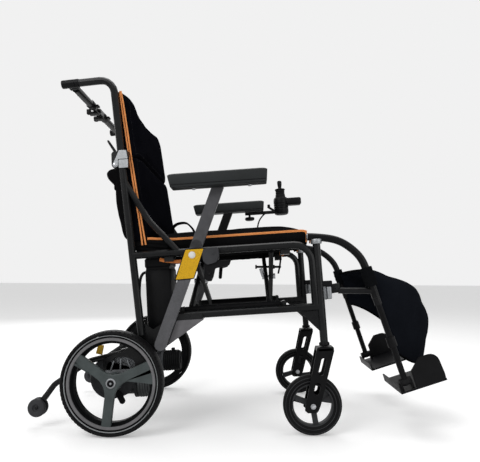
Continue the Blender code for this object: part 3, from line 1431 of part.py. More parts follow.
def footplate(side):
    """The flip-up footplate: its tread, raised rear lip, high outer wall and hinge ears."""
    name = side_name(side)
    hinge = LEG_LENGTH - FOOT_HINGE_RISE
    rear = -FOOT_REAR
    front = FOOT_LENGTH - FOOT_REAR
    width = FOOT_WALL_Y - FOOT_INNER_Y
    middle_y = side * (FOOT_WALL_Y + FOOT_INNER_Y) / 2
    thick = FOOT_PLATE
    centre = legged((rear + front) / 2, middle_y, LEG_LENGTH + thick / 2)
    foot = block(name + "_footplate", (front - rear, width, thick), centre, LEG_TURN)
    low = -LEG_LENGTH - thick * 0.7
    wall = [(rear + 0.041, low), (front - 0.002, low), (front, low + 0.016)]
    wall += arc((front - 0.024, -LEG_LENGTH + FOOT_WALL - 0.022), 0.022, 5, 90, 4)
    wall += [(rear + 0.070, -LEG_LENGTH + FOOT_WALL), (rear + 0.041, -LEG_LENGTH + FOOT_WALL * 0.62)]
    lip_centre = legged(rear + thick * 0.4, middle_y, LEG_LENGTH - 0.006)
    weld(
        foot,
        plate("foot_wall", [wall], thick, leg_plane(side * (FOOT_WALL_Y - thick / 2 + 0.0007))),
        block("foot_lip", (thick * 0.8, width - 0.002, 0.018), lip_centre, LEG_TURN),
    )
    pin_reach = 0.0105 + GAP + 0.005
    for away in (-1, 1):
        ear_at = away * (0.0105 + GAP + 0.0025)
        ear_centre = legged(ear_at, side * HANGER_Y, (hinge + LEG_LENGTH) / 2 + 0.001)
        ear_height = FOOT_HINGE_RISE + 0.002
        weld(foot, block("foot_ear", (0.005, 0.018, ear_height), ear_centre, LEG_TURN))
        disc_in = legged(ear_at - 0.0025, side * HANGER_Y, hinge)
        disc_out = legged(ear_at + 0.0025, side * HANGER_Y, hinge)
        weld(foot, rod("ear_round", 0.0095, disc_in, disc_out))
    pin_start = legged(-pin_reach, side * HANGER_Y, hinge)
    pin_end = legged(pin_reach, side * HANGER_Y, hinge)
    weld(foot, rod("foot_pin", BOLT_RADIUS, pin_start, pin_end))
    return piece(foot, BLACK_PLASTIC, legged(0, side * HANGER_Y, hinge))


# Soft parts


# Where a stuffed form's shoulders are, from its middle, and how steeply it falls off past them
SHOULDER = 0.38
SHOULDER_POWER = 6


def to_shoulder(place):
    """Moves the rows of points that lie halfway out to the form's shoulders."""
    return math.copysign(SHOULDER, place) if 0.2 < abs(place) < 0.3 else place


def cushion(name, size, placing, crown, pull):
    """A closed stuffed form: its front swells by crown and its sides draw in between corners."""
    shape = bmesh.new()
    bmesh.ops.create_cube(shape, size=1.0)
    for axis, count in enumerate((3, 3, 1)):
        edges = []
        for edge in shape.edges:
            along = (edge.verts[0].co - edge.verts[1].co)[axis]
            if abs(along) > 0.99:
                edges.append(edge)
        bmesh.ops.subdivide_edges(shape, edges=edges, cuts=count, use_grid_fill=True)
    for vertex in shape.verts:
        x, y, z = vertex.co
        x = to_shoulder(x)
        y = to_shoulder(y)
        bulge = (1 - (2 * x) ** SHOULDER_POWER) * (1 - (2 * y) ** SHOULDER_POWER)
        drawn_x = 1 - pull * (1 - (2 * y) ** 2) * abs(2 * x)
        drawn_y = 1 - pull * (1 - (2 * x) ** 2) * abs(2 * y)
        top = crown * bulge if z > 0 else 0.0
        vertex.co = Vector((x * size[0] * drawn_x, y * size[1] * drawn_y, z * size[2] + top))
    made = from_bmesh(name, shape)
    made.data.transform(placing)
    smooth = made.modifiers.new("rounding", "SUBSURF")
    smooth.levels = 1
    smooth.render_levels = 1
    return made


def seat():
    """The padded seat, slung on the two seat tubes."""
    low = BRACE_HIGH_W + SEAT_TUBE_RADIUS - SEAT_SAG
    centre = framed((SEAT_REAR_U + SEAT_FRONT_U) / 2, 0, low + SEAT_THICKNESS / 2)
    size = (SEAT_FRONT_U - SEAT_REAR_U, SEAT_HALF_WIDTH * 2, SEAT_THICKNESS)
    placing = Matrix.Translation(centre) @ FRAME_TURN
    made = cushion("seat_cushion", size, placing, SEAT_CROWN, 0.012)
    for side in (-1, 1):
        rear = framed(SEAT_REAR_U - 0.02, side * BRACE_HALF_SPAN, BRACE_HIGH_W)
        front = framed(SEAT_FRONT_U + 0.02, side * BRACE_HALF_SPAN, BRACE_HIGH_W)
        cut(made, rod("tube_seat", SEAT_TUBE_RADIUS + GAP, rear, front))
    piece(made, BLACK_FABRIC)


def back_panel(name, low, high, front, rear, crown, clearance):
    """A padded back panel between the canes, square to them."""
    middle = (low + high) / 2
    centre = framed(back_u(middle) + (front + rear) / 2, 0, middle)
    half_width = SIDE_Y - TUBE_RADIUS - clearance
    size = (high - low, half_width * 2, front - rear)
    turn = BACK_TURN @ Matrix.Rotation(math.radians(90), 4, "Y")
    return cushion(name, size, Matrix.Translation(centre) @ turn, crown, 0.003)


POCKET_FRONT = -0.003


def back():
    """The upper and lower back panels, which part at the half-fold hinge."""
    upper = back_panel(
        "back_upper",
        BACK_SPLIT_W,
        BACK_TOP_W,
        UPPER_PANEL_FRONT,
        UPPER_PANEL_REAR,
        UPPER_PANEL_CROWN,
        UPPER_PANEL_CLEARANCE,
    )
    lower = back_panel(
        "back_lower",
        BACK_FOOT_EDGE_W,
        BACK_SPLIT_W - RUNNING,
        LOWER_PANEL_FRONT,
        POCKET_FRONT + GAP,
        LOWER_PANEL_CROWN,
        LOWER_PANEL_CLEARANCE,
    )
    piece(upper, NAVY_FABRIC)
    piece(lower, NAVY_FABRIC)


def pocket():
    """The pocket bag that hangs on the back of the lower back panel."""
    profile = (
        (0.353, 0.000),
        (0.358, 0.013),
        (0.366, 0.029),
        (0.410, 0.0365),
        (0.460, 0.038),
        (0.508, 0.036),
        (0.530, 0.053),
        (0.546, 0.057),
        (0.558, 0.047),
        (0.560, 0.000),
    )
    outline = [(back_u(w) + POCKET_FRONT - depth, w) for w, depth in profile]
    bag = plate("back_pocket", [outline], POCKET_WIDTH, frame_plane(0))
    soften(bag, 0.006, 1, math.radians(50))
    piece(bag, BLACK_FABRIC)


# The calf sling's profile: down along the leg from the corner, and forward of the leg's axis
SLING_PROFILE = (
    (0.083, 0.026),
    (0.105, 0.044),
    (0.130, 0.075),
    (0.155, 0.105),
    (0.185, 0.114),
    (0.229, 0.110),
    (0.277, 0.087),
    (0.326, 0.061),
    (0.340, 0.042),
)
SLING_THICKNESS = 0.007


def calf_sling():
    """The calf sling between the hangers, bulging forward of them."""
    shape = bmesh.new()
    rows = []
    across = 10
    for i in range(across + 1):
        side = -1 + 2 * i / across
        bulge = (1 - abs(side) ** 5) ** 0.8
        y = side * (HANGER_Y - TUBE_RADIUS - SLING_THICKNESS * 0.4)
        row = []
        for down, forward in SLING_PROFILE:
            place = legged(forward * bulge, y, down)
            row.append(shape.verts.new(place))
        rows.append(row)
    for first, second in zip(rows, rows[1:]):
        for a, b, c, d in zip(first, first[1:], second[1:], second):
            shape.faces.new((a, b, c, d))
    sling = from_bmesh("calf_sling", shape)
    shell = sling.modifiers.new("thickness", "SOLIDIFY")
    shell.thickness = SLING_THICKNESS
    shell.offset = 0.0
    piece(sling, BLACK_FABRIC)


for side in (-1, 1):
    side_frame(side)
    rear_wheel(side)
    castor(side)
    anti_tip(side)
    upper_cane(side)
    handle_end(side)
    bar_half(side)
    armrest(side)
    armrest_latch(side)
    drive(side)
    hanger(side)
    leg_tube(side)
    footplate(side)

cross_brace("cross_brace_a", -1, -BRACE_STAGGER / 2)
cross_brace("cross_brace_b", 1, BRACE_STAGGER / 2)
centre_bolt("rear_centre_bolt", BRACE_REAR_U)
centre_bolt("front_centre_bolt", BRACE_FRONT_U)
battery()
controller()
cables()
seat()
back()
pocket()
calf_sling()
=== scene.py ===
"""Looks of the folding power wheelchair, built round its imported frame.

Metres, +Z up, +X towards the footplates, +Y towards the occupant's left.
Most pieces are placed in frame coordinates: u runs forward along the rails, w runs up the
posts, and (0, 0) is the rear axle. Outlines, profiles and routes given to mm() are typed in
millimetres. Side -1 is the occupant's right, side +1 the left.
"""

import json
import math

import bmesh
import bpy
from mathutils import Matrix, Vector, noise


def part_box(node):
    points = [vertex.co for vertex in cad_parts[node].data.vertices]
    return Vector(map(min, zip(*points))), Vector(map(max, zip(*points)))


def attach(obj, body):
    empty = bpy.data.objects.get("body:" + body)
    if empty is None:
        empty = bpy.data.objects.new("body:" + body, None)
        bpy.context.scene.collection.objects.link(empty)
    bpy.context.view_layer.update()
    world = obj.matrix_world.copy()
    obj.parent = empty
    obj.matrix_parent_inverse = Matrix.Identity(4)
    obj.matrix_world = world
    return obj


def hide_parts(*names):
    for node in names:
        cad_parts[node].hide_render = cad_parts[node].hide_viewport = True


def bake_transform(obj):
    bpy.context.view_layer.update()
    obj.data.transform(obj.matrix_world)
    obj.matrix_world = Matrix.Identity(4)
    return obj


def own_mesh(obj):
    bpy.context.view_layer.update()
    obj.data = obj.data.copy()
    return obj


def mm(*points):
    """Points typed in millimetres, in metres."""
    return [tuple(value / 1000 for value in point) for point in points]


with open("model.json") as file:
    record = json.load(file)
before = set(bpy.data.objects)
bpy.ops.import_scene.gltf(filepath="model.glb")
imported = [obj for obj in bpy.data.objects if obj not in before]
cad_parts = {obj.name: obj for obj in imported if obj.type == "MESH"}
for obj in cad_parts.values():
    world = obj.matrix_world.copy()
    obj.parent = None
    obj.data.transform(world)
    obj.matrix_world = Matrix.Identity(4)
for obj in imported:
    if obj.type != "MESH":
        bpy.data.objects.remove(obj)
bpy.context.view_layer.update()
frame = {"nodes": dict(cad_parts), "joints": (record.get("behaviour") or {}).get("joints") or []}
JOINTS = {joint["name"]: joint for joint in frame["joints"]}
SIDES = ((-1, "right"), (1, "left"))
noise.seed_set(7)

# Places that come from the frame
AXLE = Vector(JOINTS["right_wheel_spin"]["pos_m"])
WHEEL_RADIUS = AXLE.z
WHEEL_Y = -AXLE.y
CASTOR_AXLE = Vector(JOINTS["right_castor_spin"]["pos_m"])
CASTOR_RADIUS = CASTOR_AXLE.z
FRAME_PITCH = math.atan2(-JOINTS["right_castor_swivel"]["axis"][0], JOINTS["right_castor_swivel"]["axis"][2])
POST = Vector(JOINTS["right_legrest_swing"]["pos_m"])
SIDE_Y = -POST.y
LEG_AXIS = JOINTS["right_footplate_flip"]["axis"]
LEG_TILT = math.atan2(LEG_AXIS[2], LEG_AXIS[0])
HANGER_Y = -JOINTS["right_footplate_flip"]["pos_m"][1]
CORNER = POST + Vector((0.105, 0.0, 0.006))
SEAT_RAIL_W = 0.314
BACK_U = 0.0555
BACK_LEAN = math.radians(4.0)
HINGE_W = 0.571
ARM_TILT = math.radians(23.2)
ARM_PIVOT = Vector(JOINTS["right_armrest_lift"]["pos_m"])
ARM_Y = 0.249
PAD_Y = 0.265
PAD_W = 0.475
TUBE_RADIUS = 0.01
HANDLE_W = 0.798
HANDLE_LENGTH = 0.139
HANDLE_Y = 0.224
HANDLE_DIP = math.radians(2.0)
CLAMP_W = 0.194
SADDLE_W = 0.1855
POST_U = 0.536
MOTOR_Y = 0.183
MOTOR_W = -0.022
GLAND_U = 0.078
HANGER_ROUTE = mm((515, 333.2), (523.9, 332.8), (559.7, 328.1), (586.3, 322.6), (612.2, 309.1), (633, 289))

FRAME_TURN = Matrix.Rotation(-FRAME_PITCH, 4, "Y")
BACK_TURN = Matrix.Rotation(-FRAME_PITCH - BACK_LEAN, 4, "Y")
ARM_TURN = Matrix.Rotation(-FRAME_PITCH + ARM_TILT, 4, "Y")
LEG_TURN = Matrix.Rotation(-LEG_TILT, 4, "Y")


def framed(u, y, w):
    """A point given in frame coordinates."""
    x = AXLE.x + u * math.cos(FRAME_PITCH) - w * math.sin(FRAME_PITCH)
    z = AXLE.z + u * math.sin(FRAME_PITCH) + w * math.cos(FRAME_PITCH)
    return Vector((x, y, z))


def legged(forward, y, down):
    """A point on a legrest: down along the leg tube from its corner, forward square to it."""
    x = CORNER.x + down * math.sin(LEG_TILT) + forward * math.cos(LEG_TILT)
    z = CORNER.z - down * math.cos(LEG_TILT) + forward * math.sin(LEG_TILT)
    return Vector((x, y, z))


def back_u(w):
    """u of the back post's axis at height w."""
    return BACK_U - (w - SEAT_RAIL_W) * math.tan(BACK_LEAN)


# Camera: fitted to the wheel rims and the frame's corners in the photograph

CAMERA_PLACE = Vector((AXLE.x + 0.356, -1.504, 0.389))
CAMERA_RIGHT = Vector((0.9995, 0.0319, 0.0056))
CAMERA_UP = Vector((-0.0025, -0.0958, 0.9954))
CAMERA_LENS_MM = 36.8
LIGHT_TARGET = Vector((0, 0, 0.4))
WORLD_LIGHT = 0.42
WORLD_SHADE = 0.88


def add_camera():
    """The camera at the photograph's place and angle."""
    data = bpy.data.cameras.new("camera")
    data.lens = CAMERA_LENS_MM
    data.sensor_width = 36.0
    data.sensor_fit = "HORIZONTAL"
    camera = bpy.data.objects.new("camera", data)
    bpy.context.scene.collection.objects.link(camera)
    right = CAMERA_RIGHT.normalized()
    up = (CAMERA_UP - right * CAMERA_UP.dot(right)).normalized()
    back = right.cross(up)
    turn = Matrix((right, up, back)).transposed().to_4x4()
    camera.matrix_world = Matrix.Translation(CAMERA_PLACE) @ turn
    bpy.context.scene.camera = camera


def link(made):
    """Puts a new object in the scene."""
    bpy.context.scene.collection.objects.link(made)
    return made


def area_light(name, place, size, power):
    """A soft rectangular lamp that faces the chair's middle."""
    data = bpy.data.lights.new(name, "AREA")
    data.shape = "RECTANGLE"
    data.size, data.size_y = size
    data.energy = power
    lamp = link(bpy.data.objects.new(name, data))
    aim = (LIGHT_TARGET - Vector(place)).to_track_quat("-Z", "Y").to_matrix().to_4x4()
    lamp.matrix_world = Matrix.Translation(place) @ aim


def add_light():
    """Plain soft studio light: a key, a fill, a top and a back lamp, and a pale world."""
    bpy.context.scene.view_settings.view_transform = "Standard"
    area_light("key", (-1.6, -2.4, 2.4), (1.6, 1.6), 46)
    area_light("fill", (2.4, -2.0, 1.2), (1.6, 1.6), 20)
    area_light("top", (0.2, 0.4, 3.0), (2.4, 1.6), 34)
    area_light("back", (-1.2, 2.6, 1.8), (1.6, 1.6), 22)
    world = bpy.data.worlds.new("studio")
    bpy.context.scene.world = world
    world.use_nodes = True
    tree = world.node_tree
    tree.nodes.clear()

    def background(shade, strength):
        made = tree.nodes.new("ShaderNodeBackground")
        made.inputs["Color"].default_value = (shade, shade, shade, 1.0)
        made.inputs["Strength"].default_value = strength
        return made.outputs["Background"]

    output = tree.nodes.new("ShaderNodeOutputWorld")
    mix = tree.nodes.new("ShaderNodeMixShader")
    path = tree.nodes.new("ShaderNodeLightPath")
    direct = path.outputs["Is Camera Ray"]
    for ray in ("Is Glossy Ray", "Is Transmission Ray"):
        total = tree.nodes.new("ShaderNodeMath")
        total.operation = "MAXIMUM"
        tree.links.new(direct, total.inputs[0])
        tree.links.new(path.outputs[ray], total.inputs[1])
        direct = total.outputs[0]
    tree.links.new(direct, mix.inputs["Fac"])
    tree.links.new(background(1.0, WORLD_LIGHT), mix.inputs[1])
    tree.links.new(background(WORLD_SHADE, 1.0), mix.inputs[2])
    tree.links.new(mix.outputs["Shader"], output.inputs["Surface"])


def add_floor():
    """A plain pale floor."""
    bpy.ops.mesh.primitive_plane_add(size=60.0, location=(0, 0, 0))
    floor = bpy.context.object
    floor.name = "floor"
    made = bpy.data.materials.new("floor")
    made.use_nodes = True
    shader = made.node_tree.nodes["Principled BSDF"]
    shader.inputs["Base Color"].default_value = (0.86, 0.86, 0.86, 1.0)
    shader.inputs["Roughness"].default_value = 0.9
    shader.inputs["Specular IOR Level"].default_value = 0.1
    tree = made.node_tree
    path = tree.nodes.new("ShaderNodeLightPath")
    pale = tree.nodes.new("ShaderNodeMath")
    pale.operation = "MULTIPLY"
    pale.inputs[1].default_value = 0.3
    tree.links.new(path.outputs["Is Camera Ray"], pale.inputs[0])
    tree.links.new(pale.outputs[0], shader.inputs["Emission Strength"])
    shader.inputs["Emission Color"].default_value = (1.0, 1.0, 1.0, 1.0)
    floor.data.materials.append(made)


# Materials


# The record's slot that each material stands for
SLOTS = {}


class Finish:
    """A Principled material that is built up node by node."""

    def __init__(self, name, slot, colour, roughness, metallic=0.0, **sockets):
        self.made = bpy.data.materials.new(name)
        SLOTS[self.made.name] = slot
        self.made.use_nodes = True
        self.made.diffuse_color = (*colour, 1.0)
        self.tree = self.made.node_tree
        self.shader = self.tree.nodes["Principled BSDF"]
        self.colour = colour
        self.shader.inputs["Base Color"].default_value = (*colour, 1.0)
        self.shader.inputs["Roughness"].default_value = roughness
        self.shader.inputs["Metallic"].default_value = metallic
        for socket, value in sockets.items():
            self.shader.inputs[socket.replace("_", " ")].default_value = value
        self.place = self.tree.nodes.new("ShaderNodeTexCoord").outputs["Object"]
        self.normal = None

    def node(self, kind, inputs=(), **settings):
        """A new node, with its settings and its inputs, which are values or other outputs."""
        made = self.tree.nodes.new(kind)
        for key, value in settings.items():
            setattr(made, key, value)
        for key, value in dict(inputs).items():
            if isinstance(value, bpy.types.NodeSocket):
                self.tree.links.new(value, made.inputs[key])
            else:
                made.inputs[key].default_value = value
        return made

    def noise(self, scale, detail=3.0, stretch=None):
        """A noise pattern of the object's place, between 0 and 1."""
        place = self.place
        if stretch:
            place = self.node("ShaderNodeMapping", {"Vector": place, "Scale": stretch}).outputs["Vector"]
        inputs = {"Vector": place, "Scale": scale, "Detail": detail}
        return self.node("ShaderNodeTexNoise", inputs).outputs["Fac"]

    def maths(self, operation, first, second):
        """The result of one operation on two values or outputs."""
        return self.node("ShaderNodeMath", {0: first, 1: second}, operation=operation).outputs[0]

    def cells(self, scale):
        """Small cells: the distance from the edge between them."""
        inputs = {"Vector": self.place, "Scale": scale}
        return self.node("ShaderNodeTexVoronoi", inputs, feature="DISTANCE_TO_EDGE").outputs["Distance"]

    def steps(self, value, low, high):
        """A value spread between a low and a high number."""
        spread = self.node("ShaderNodeMapRange", {"Value": value, "To Min": low, "To Max": high})
        return spread.outputs["Result"]

    def vary(self, value, dark, light):
        """Colour that varies with a value, from dark to light shares of the material's own."""
        ramp = self.node("ShaderNodeValToRGB", {"Fac": value})
        ramp.color_ramp.elements[0].color = (*[c * dark for c in self.colour], 1.0)
        ramp.color_ramp.elements[1].color = (*[min(1.0, c * light) for c in self.colour], 1.0)
        ramp.color_ramp.elements[0].position = 0.3
        ramp.color_ramp.elements[1].position = 0.7
        self.tree.links.new(ramp.outputs["Color"], self.shader.inputs["Base Color"])
        return ramp.outputs["Color"]

    def rough(self, value, low, high):
        """Roughness that varies with a value."""
        self.tree.links.new(self.steps(value, low, high), self.shader.inputs["Roughness"])

    def bump(self, height, depth, strength=1.0):
        """A bump of a height pattern, at most depth metres deep."""
        inputs = {"Height": height, "Distance": depth, "Strength": strength}
        if self.normal:
            inputs["Normal"] = self.normal
        made = self.node("ShaderNodeBump", inputs)
        self.normal = made.outputs["Normal"]
        self.tree.links.new(self.normal, self.shader.inputs["Normal"])

    def wear(self, colour, amount):
        """Paler worn edges, where the surface turns sharply."""
        sharp = self.node("ShaderNodeNewGeometry").outputs["Pointiness"]
        inputs = {"Value": sharp, "From Min": 0.52, "From Max": 0.6, "To Max": amount}
        edge = self.node("ShaderNodeMapRange", inputs)
        broken = self.maths("MULTIPLY", edge.outputs["Result"], self.noise(300.0))
        socket = self.shader.inputs["Base Color"]
        base = socket.links[0].from_socket if socket.links else None
        mix = self.node("ShaderNodeMix", {"Factor": broken}, data_type="RGBA")
        if base:
            self.tree.links.new(base, mix.inputs["A"])
        else:
            mix.inputs["A"].default_value = (*self.colour, 1.0)
        mix.inputs["B"].default_value = (*colour, 1.0)
        self.tree.links.new(mix.outputs["Result"], socket)


def painted(name, slot, colour, roughness, gloss=0.16):
    """Powder-coated metal: orange-peel bump, faint dust and paler worn edges."""
    made = Finish(name, slot, colour, roughness, Specular_IOR_Level=gloss)
    dust = made.noise(35.0, 4.0)
    made.vary(dust, 0.85, 1.2)
    made.rough(dust, roughness - 0.06, roughness + 0.08)
    made.bump(made.noise(1400.0, 2.0), 0.00006)
    made.wear([min(1.0, 2.5 * c + 0.02) for c in colour], 0.4)
    return made.made


def moulded(name, slot, colour, roughness, grain=900.0, depth=0.00008):
    """Moulded plastic or rubber with a fine spark-eroded grain."""
    made = Finish(name, slot, colour, roughness, Specular_IOR_Level=0.1)
    blotch = made.noise(28.0, 4.0)
    made.vary(blotch, 0.82, 1.25)
    made.rough(blotch, roughness - 0.07, roughness + 0.08)
    made.bump(made.noise(grain, 2.0), depth)
    return made.made


def metal(name, slot, colour, roughness, stretch=(1.0, 30.0, 1.0)):
    """Bare metal with fine brushed or cast unevenness."""
    made = Finish(name, slot, colour, roughness, 1.0)
    lines = made.noise(220.0, 3.0, stretch)
    made.vary(lines, 0.8, 1.1)
    made.rough(lines, roughness - 0.08, roughness + 0.12)
    made.bump(lines, 0.00005)
    return made.made


def woven(name, slot, colour, thread, sheen, contrast=1.35):
    """Woven nylon: two crossing sets of threads from waves of place, with sheen and lint."""
    made = Finish(name, slot, colour, 0.82, Specular_IOR_Level=0.0, Sheen_Weight=sheen, Sheen_Roughness=0.5)
    waves = []
    for direction in ("X", "Y", "Z"):
        inputs = {"Vector": made.place, "Scale": 1.0 / thread / 3.2, "Distortion": 1.2, "Detail": 1.0}
        wave = made.node("ShaderNodeTexWave", inputs, wave_type="BANDS", bands_direction=direction)
        waves.append(wave.outputs["Fac"])
    weave = made.maths("MULTIPLY", made.maths("MAXIMUM", waves[0], waves[1]), waves[2])
    shade = made.noise(14.0, 5.0)
    made.vary(made.maths("ADD", made.steps(weave, 0.0, 0.5), made.steps(shade, 0.0, 0.6)), 0.75, contrast)
    made.bump(weave, 0.00018)
    made.bump(shade, 0.0008, 0.5)
    return made.made


def vinyl(name, slot, colour):
    """Grained vinyl: fine cells with shallow creases between them."""
    made = Finish(name, slot, colour, 0.5, Specular_IOR_Level=0.22)
    shade = made.noise(20.0, 4.0)
    made.vary(shade, 0.85, 1.2)
    made.rough(shade, 0.42, 0.58)
    made.bump(made.steps(made.cells(420.0), 0.0, 1.6), 0.00014)
    return made.made


def reflector(name, slot, colour):
    """A prismatic reflector film: bright cells under a clear coat."""
    made = Finish(name, slot, colour, 0.4, Coat_Weight=0.15, Coat_Roughness=0.12, Specular_IOR_Level=0.2)
    cells = made.cells(330.0)
    made.vary(made.steps(cells, 0.0, 4.0), 0.8, 1.12)
    made.bump(cells, 0.0002)
    return made.made


FRAME_PAINT = painted("satin_dark_paint", "frame_paint", (0.0046, 0.0049, 0.0053), 0.27)
GREY_PAINT = painted("satin_grey_paint", "grey_paint", (0.06, 0.06, 0.064), 0.38)
PLATE_PAINT = painted("satin_plate_paint", "grey_paint", (0.11, 0.107, 0.113), 0.4)
RIM_PAINT = painted("rim_paint", "rim_paint", (0.052, 0.062, 0.062), 0.38)
BARREL_PAINT = painted("rim_barrel_paint", "rim_paint", (0.0035, 0.0038, 0.0042), 0.45, 0.08)
BAND_PAINT = painted("rim_band_paint", "rim_paint", (0.12, 0.118, 0.122), 0.36)
LIP_PAINT = painted("rim_lip_paint", "rim_paint", (0.24, 0.25, 0.255), 0.34)
CASTOR_PAINT = painted("castor_paint", "rim_paint", (0.03, 0.031, 0.033), 0.42)
MOTOR_PAINT = painted("motor_paint", "motor_paint", (0.072, 0.077, 0.079), 0.5)
# A darker copy of the motor paint for the far motor: painted shade.
MOTOR_PAINTED_SHADE = painted("motor_painted_shade_paint", "motor_paint", (0.005, 0.0052, 0.0056), 0.55, 0.04)
GEARBOX_PAINT = painted("gearbox_paint", "motor_paint", (0.022, 0.023, 0.025), 0.5)
BLACK_PAINT = painted("black_paint", "black_paint", (0.0036, 0.0036, 0.0041), 0.3, 0.1)
BRACE_PAINT = painted("brace_paint", "black_paint", (0.003, 0.003, 0.0034), 0.45, 0.02)
BLACK_PLASTIC = moulded("black_plastic", "black_plastic", (0.0042, 0.0042, 0.0048), 0.4)
GREY_PLASTIC = moulded("grey_plastic", "grey_plastic", (0.04, 0.041, 0.044), 0.5)
RUBBER = moulded("rubber", "rubber", (0.0046, 0.0046, 0.0052), 0.58)
TYRE = moulded("tyre_rubber", "tyre", (0.0038, 0.0038, 0.0042), 0.55, 500.0, 0.0001)
ALUMINIUM = metal("cast_aluminium", "cast_aluminium", (0.22, 0.23, 0.24), 0.5, (1.0, 1.0, 1.0))
SILVER = metal("bare_aluminium", "bare_metal", (0.29, 0.3, 0.31), 0.45)
STEEL = metal("zinc_steel", "steel", (0.5, 0.51, 0.53), 0.35, (1.0, 1.0, 1.0))
BLACK_FABRIC = woven("black_fabric", "black_fabric", (0.0056, 0.0056, 0.006), 0.0011, 0.003)
NAVY_FABRIC = woven("navy_fabric", "navy_fabric", (0.0034, 0.0035, 0.005), 0.0013, 0.002)
SLING_FABRIC = woven("sling_fabric", "black_fabric", (0.0062, 0.0072, 0.0098), 0.0012, 0.006)
SLEEVE_FABRIC = woven("sleeve_fabric", "black_fabric", (0.0052, 0.0056, 0.0064), 0.001, 0.008)
WEBBING = woven("webbing", "black_fabric", (0.0024, 0.0024, 0.0028), 0.0016, 0.008)
ORANGE = woven("orange_piping", "orange_fabric", (0.86, 0.33, 0.105), 0.0007, 0.15, 1.12)
ORANGE_WEB = woven("orange_webbing", "orange_fabric", (0.7, 0.23, 0.065), 0.0014, 0.12, 1.15)
VINYL = vinyl("pad_vinyl", "vinyl", (0.0112, 0.0132, 0.0138))
YELLOW = reflector("yellow_reflector", "reflector", (0.6, 0.335, 0.0045))
WHITE_CAP = moulded("white_cap", "white_cap", (0.75, 0.75, 0.72), 0.35)
AMBER = reflector("amber_reflector", "reflector", (0.45, 0.27, 0.02))
THREAD = moulded("thread", "black_fabric", (0.018, 0.018, 0.02), 0.8)

NODE_FINISHES = (
    (FRAME_PAINT, "side_frame", "upper_cane", "stretcher_bar", "anti_tip_arm"),
    (BLACK_PAINT, "leg_tube"),
    (BRACE_PAINT, "cross_brace_a", "cross_brace_b"),
    (STEEL, "rear_centre_bolt", "front_centre_bolt"),
    (GREY_PAINT, "armrest_bar"),
    (BLACK_PLASTIC, "armrest_latch", "freewheel_lever", "footplate", "battery"),
    (GEARBOX_PAINT, "gearbox"),
    (RUBBER, "power_button"),
)


def dress_nodes():
    """Gives each CAD node that stays in view its finish and smooth round faces."""
    for name, node in frame["nodes"].items():
        for finish, *endings in NODE_FINISHES:
            if name.endswith(tuple(endings)):
                node.data.materials.clear()
                node.data.materials.append(finish)
        node.data.shade_smooth()
        welded = node.modifiers.new("joined", "WELD")
        welded.merge_threshold = 0.000002
        edges = node.modifiers.new("sharp_edges", "EDGE_SPLIT")
        edges.split_angle = math.radians(32)


# Making helpers


def finish_piece(made, name, body, look, replaced=None, slot=None):
    """Names a piece, gives it its look and hides the part it replaces; the slot it is given is not used.

    It rides its body, unless it has none.
    """
    made.name = name
    made.data.name = name
    made.data.materials.clear()
    made.data.materials.append(look)
    if body:
        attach(made, body)
    slot or SLOTS[look.name]
    if replaced:
        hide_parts(replaced)
    return made


def mesh_of(points, faces, name="piece", smooth=True):
    """A mesh object from points and faces."""
    mesh = bpy.data.meshes.new(name)
    mesh.from_pydata([tuple(p) for p in points], [], faces)
    mesh.validate()
    shape = bmesh.new()
    shape.from_mesh(mesh)
    bmesh.ops.recalc_face_normals(shape, faces=shape.faces)
    shape.to_mesh(mesh)
    shape.free()
    if smooth:
        mesh.shade_smooth()
    return link(bpy.data.objects.new(name, mesh))


def plain(made):
    """Applies an object's modifiers, or turns a curve into its mesh, in place."""
    bpy.context.view_layer.update()
    evaluated = made.evaluated_get(bpy.context.evaluated_depsgraph_get())
    mesh = bpy.data.meshes.new_from_object(evaluated)
    result = bpy.data.objects.new(made.name, mesh)
    result.matrix_world = made.matrix_world.copy()
    link(result)
    bpy.data.objects.remove(made, do_unlink=True)
    return result


def crease(made, angle=32):
    """Marks a mesh's hard edges, with round faces smooth between them."""
    made.data.shade_smooth()
    made.data.set_sharp_from_angle(angle=math.radians(angle))
    return made


def joined(objects):
    """One mesh object of several, at the world's origin."""
    shape = bmesh.new()
    looks = []
    for made in objects:
        made = plain(made)
        made.data.transform(made.matrix_world)
        offset = len(looks)
        looks += [m for m in made.data.materials]
        for polygon in made.data.polygons:
            polygon.material_index += offset
        shape.from_mesh(made.data)
        bpy.data.objects.remove(made, do_unlink=True)
    mesh = bpy.data.meshes.new("joined")
    shape.to_mesh(mesh)
    shape.free()
    for look in looks:
        mesh.materials.append(look)
    return link(bpy.data.objects.new("joined", mesh))


def lattice(rings, count, last):
    """Faces between rings of count points that close round a turn, up to each ring's last span."""
    faces = []
    for i in range(rings):
        ahead = (i + 1) % rings
        for k in range(last):
            up = (k + 1) % count
            faces.append((i * count + k, ahead * count + k, ahead * count + up, i * count + up))
    return faces


def spin(profile, placing, steps=72, closed=False):
    """A turned mesh from a profile of radius and height about placing's Z."""
    count = len(profile)
    points = []
    for i in range(steps):
        angle = 2 * math.pi * i / steps
        for radius, height in profile:
            points.append(placing @ Vector((radius * math.cos(angle), radius * math.sin(angle), height)))
    made = mesh_of(points, lattice(steps, count, count if closed else count - 1))
    shape = bmesh.new()
    shape.from_mesh(made.data)
    bmesh.ops.remove_doubles(shape, verts=shape.verts, dist=0.000005)
    bmesh.ops.dissolve_degenerate(shape, edges=shape.edges, dist=0.000002)
    bmesh.ops.recalc_face_normals(shape, faces=shape.faces)
    shape.to_mesh(made.data)
    shape.free()
    return crease(made)


def rod(start, end, radius, sides=24, bevel=0.0):
    """A round bar between two points."""
    length = (end - start).length
    profile = [(0, 0), (radius - bevel, 0), (radius, bevel), (radius, length - bevel)]
    profile += [(radius - bevel, length), (0, length)]
    return spin(profile, aimed(start, end), sides)


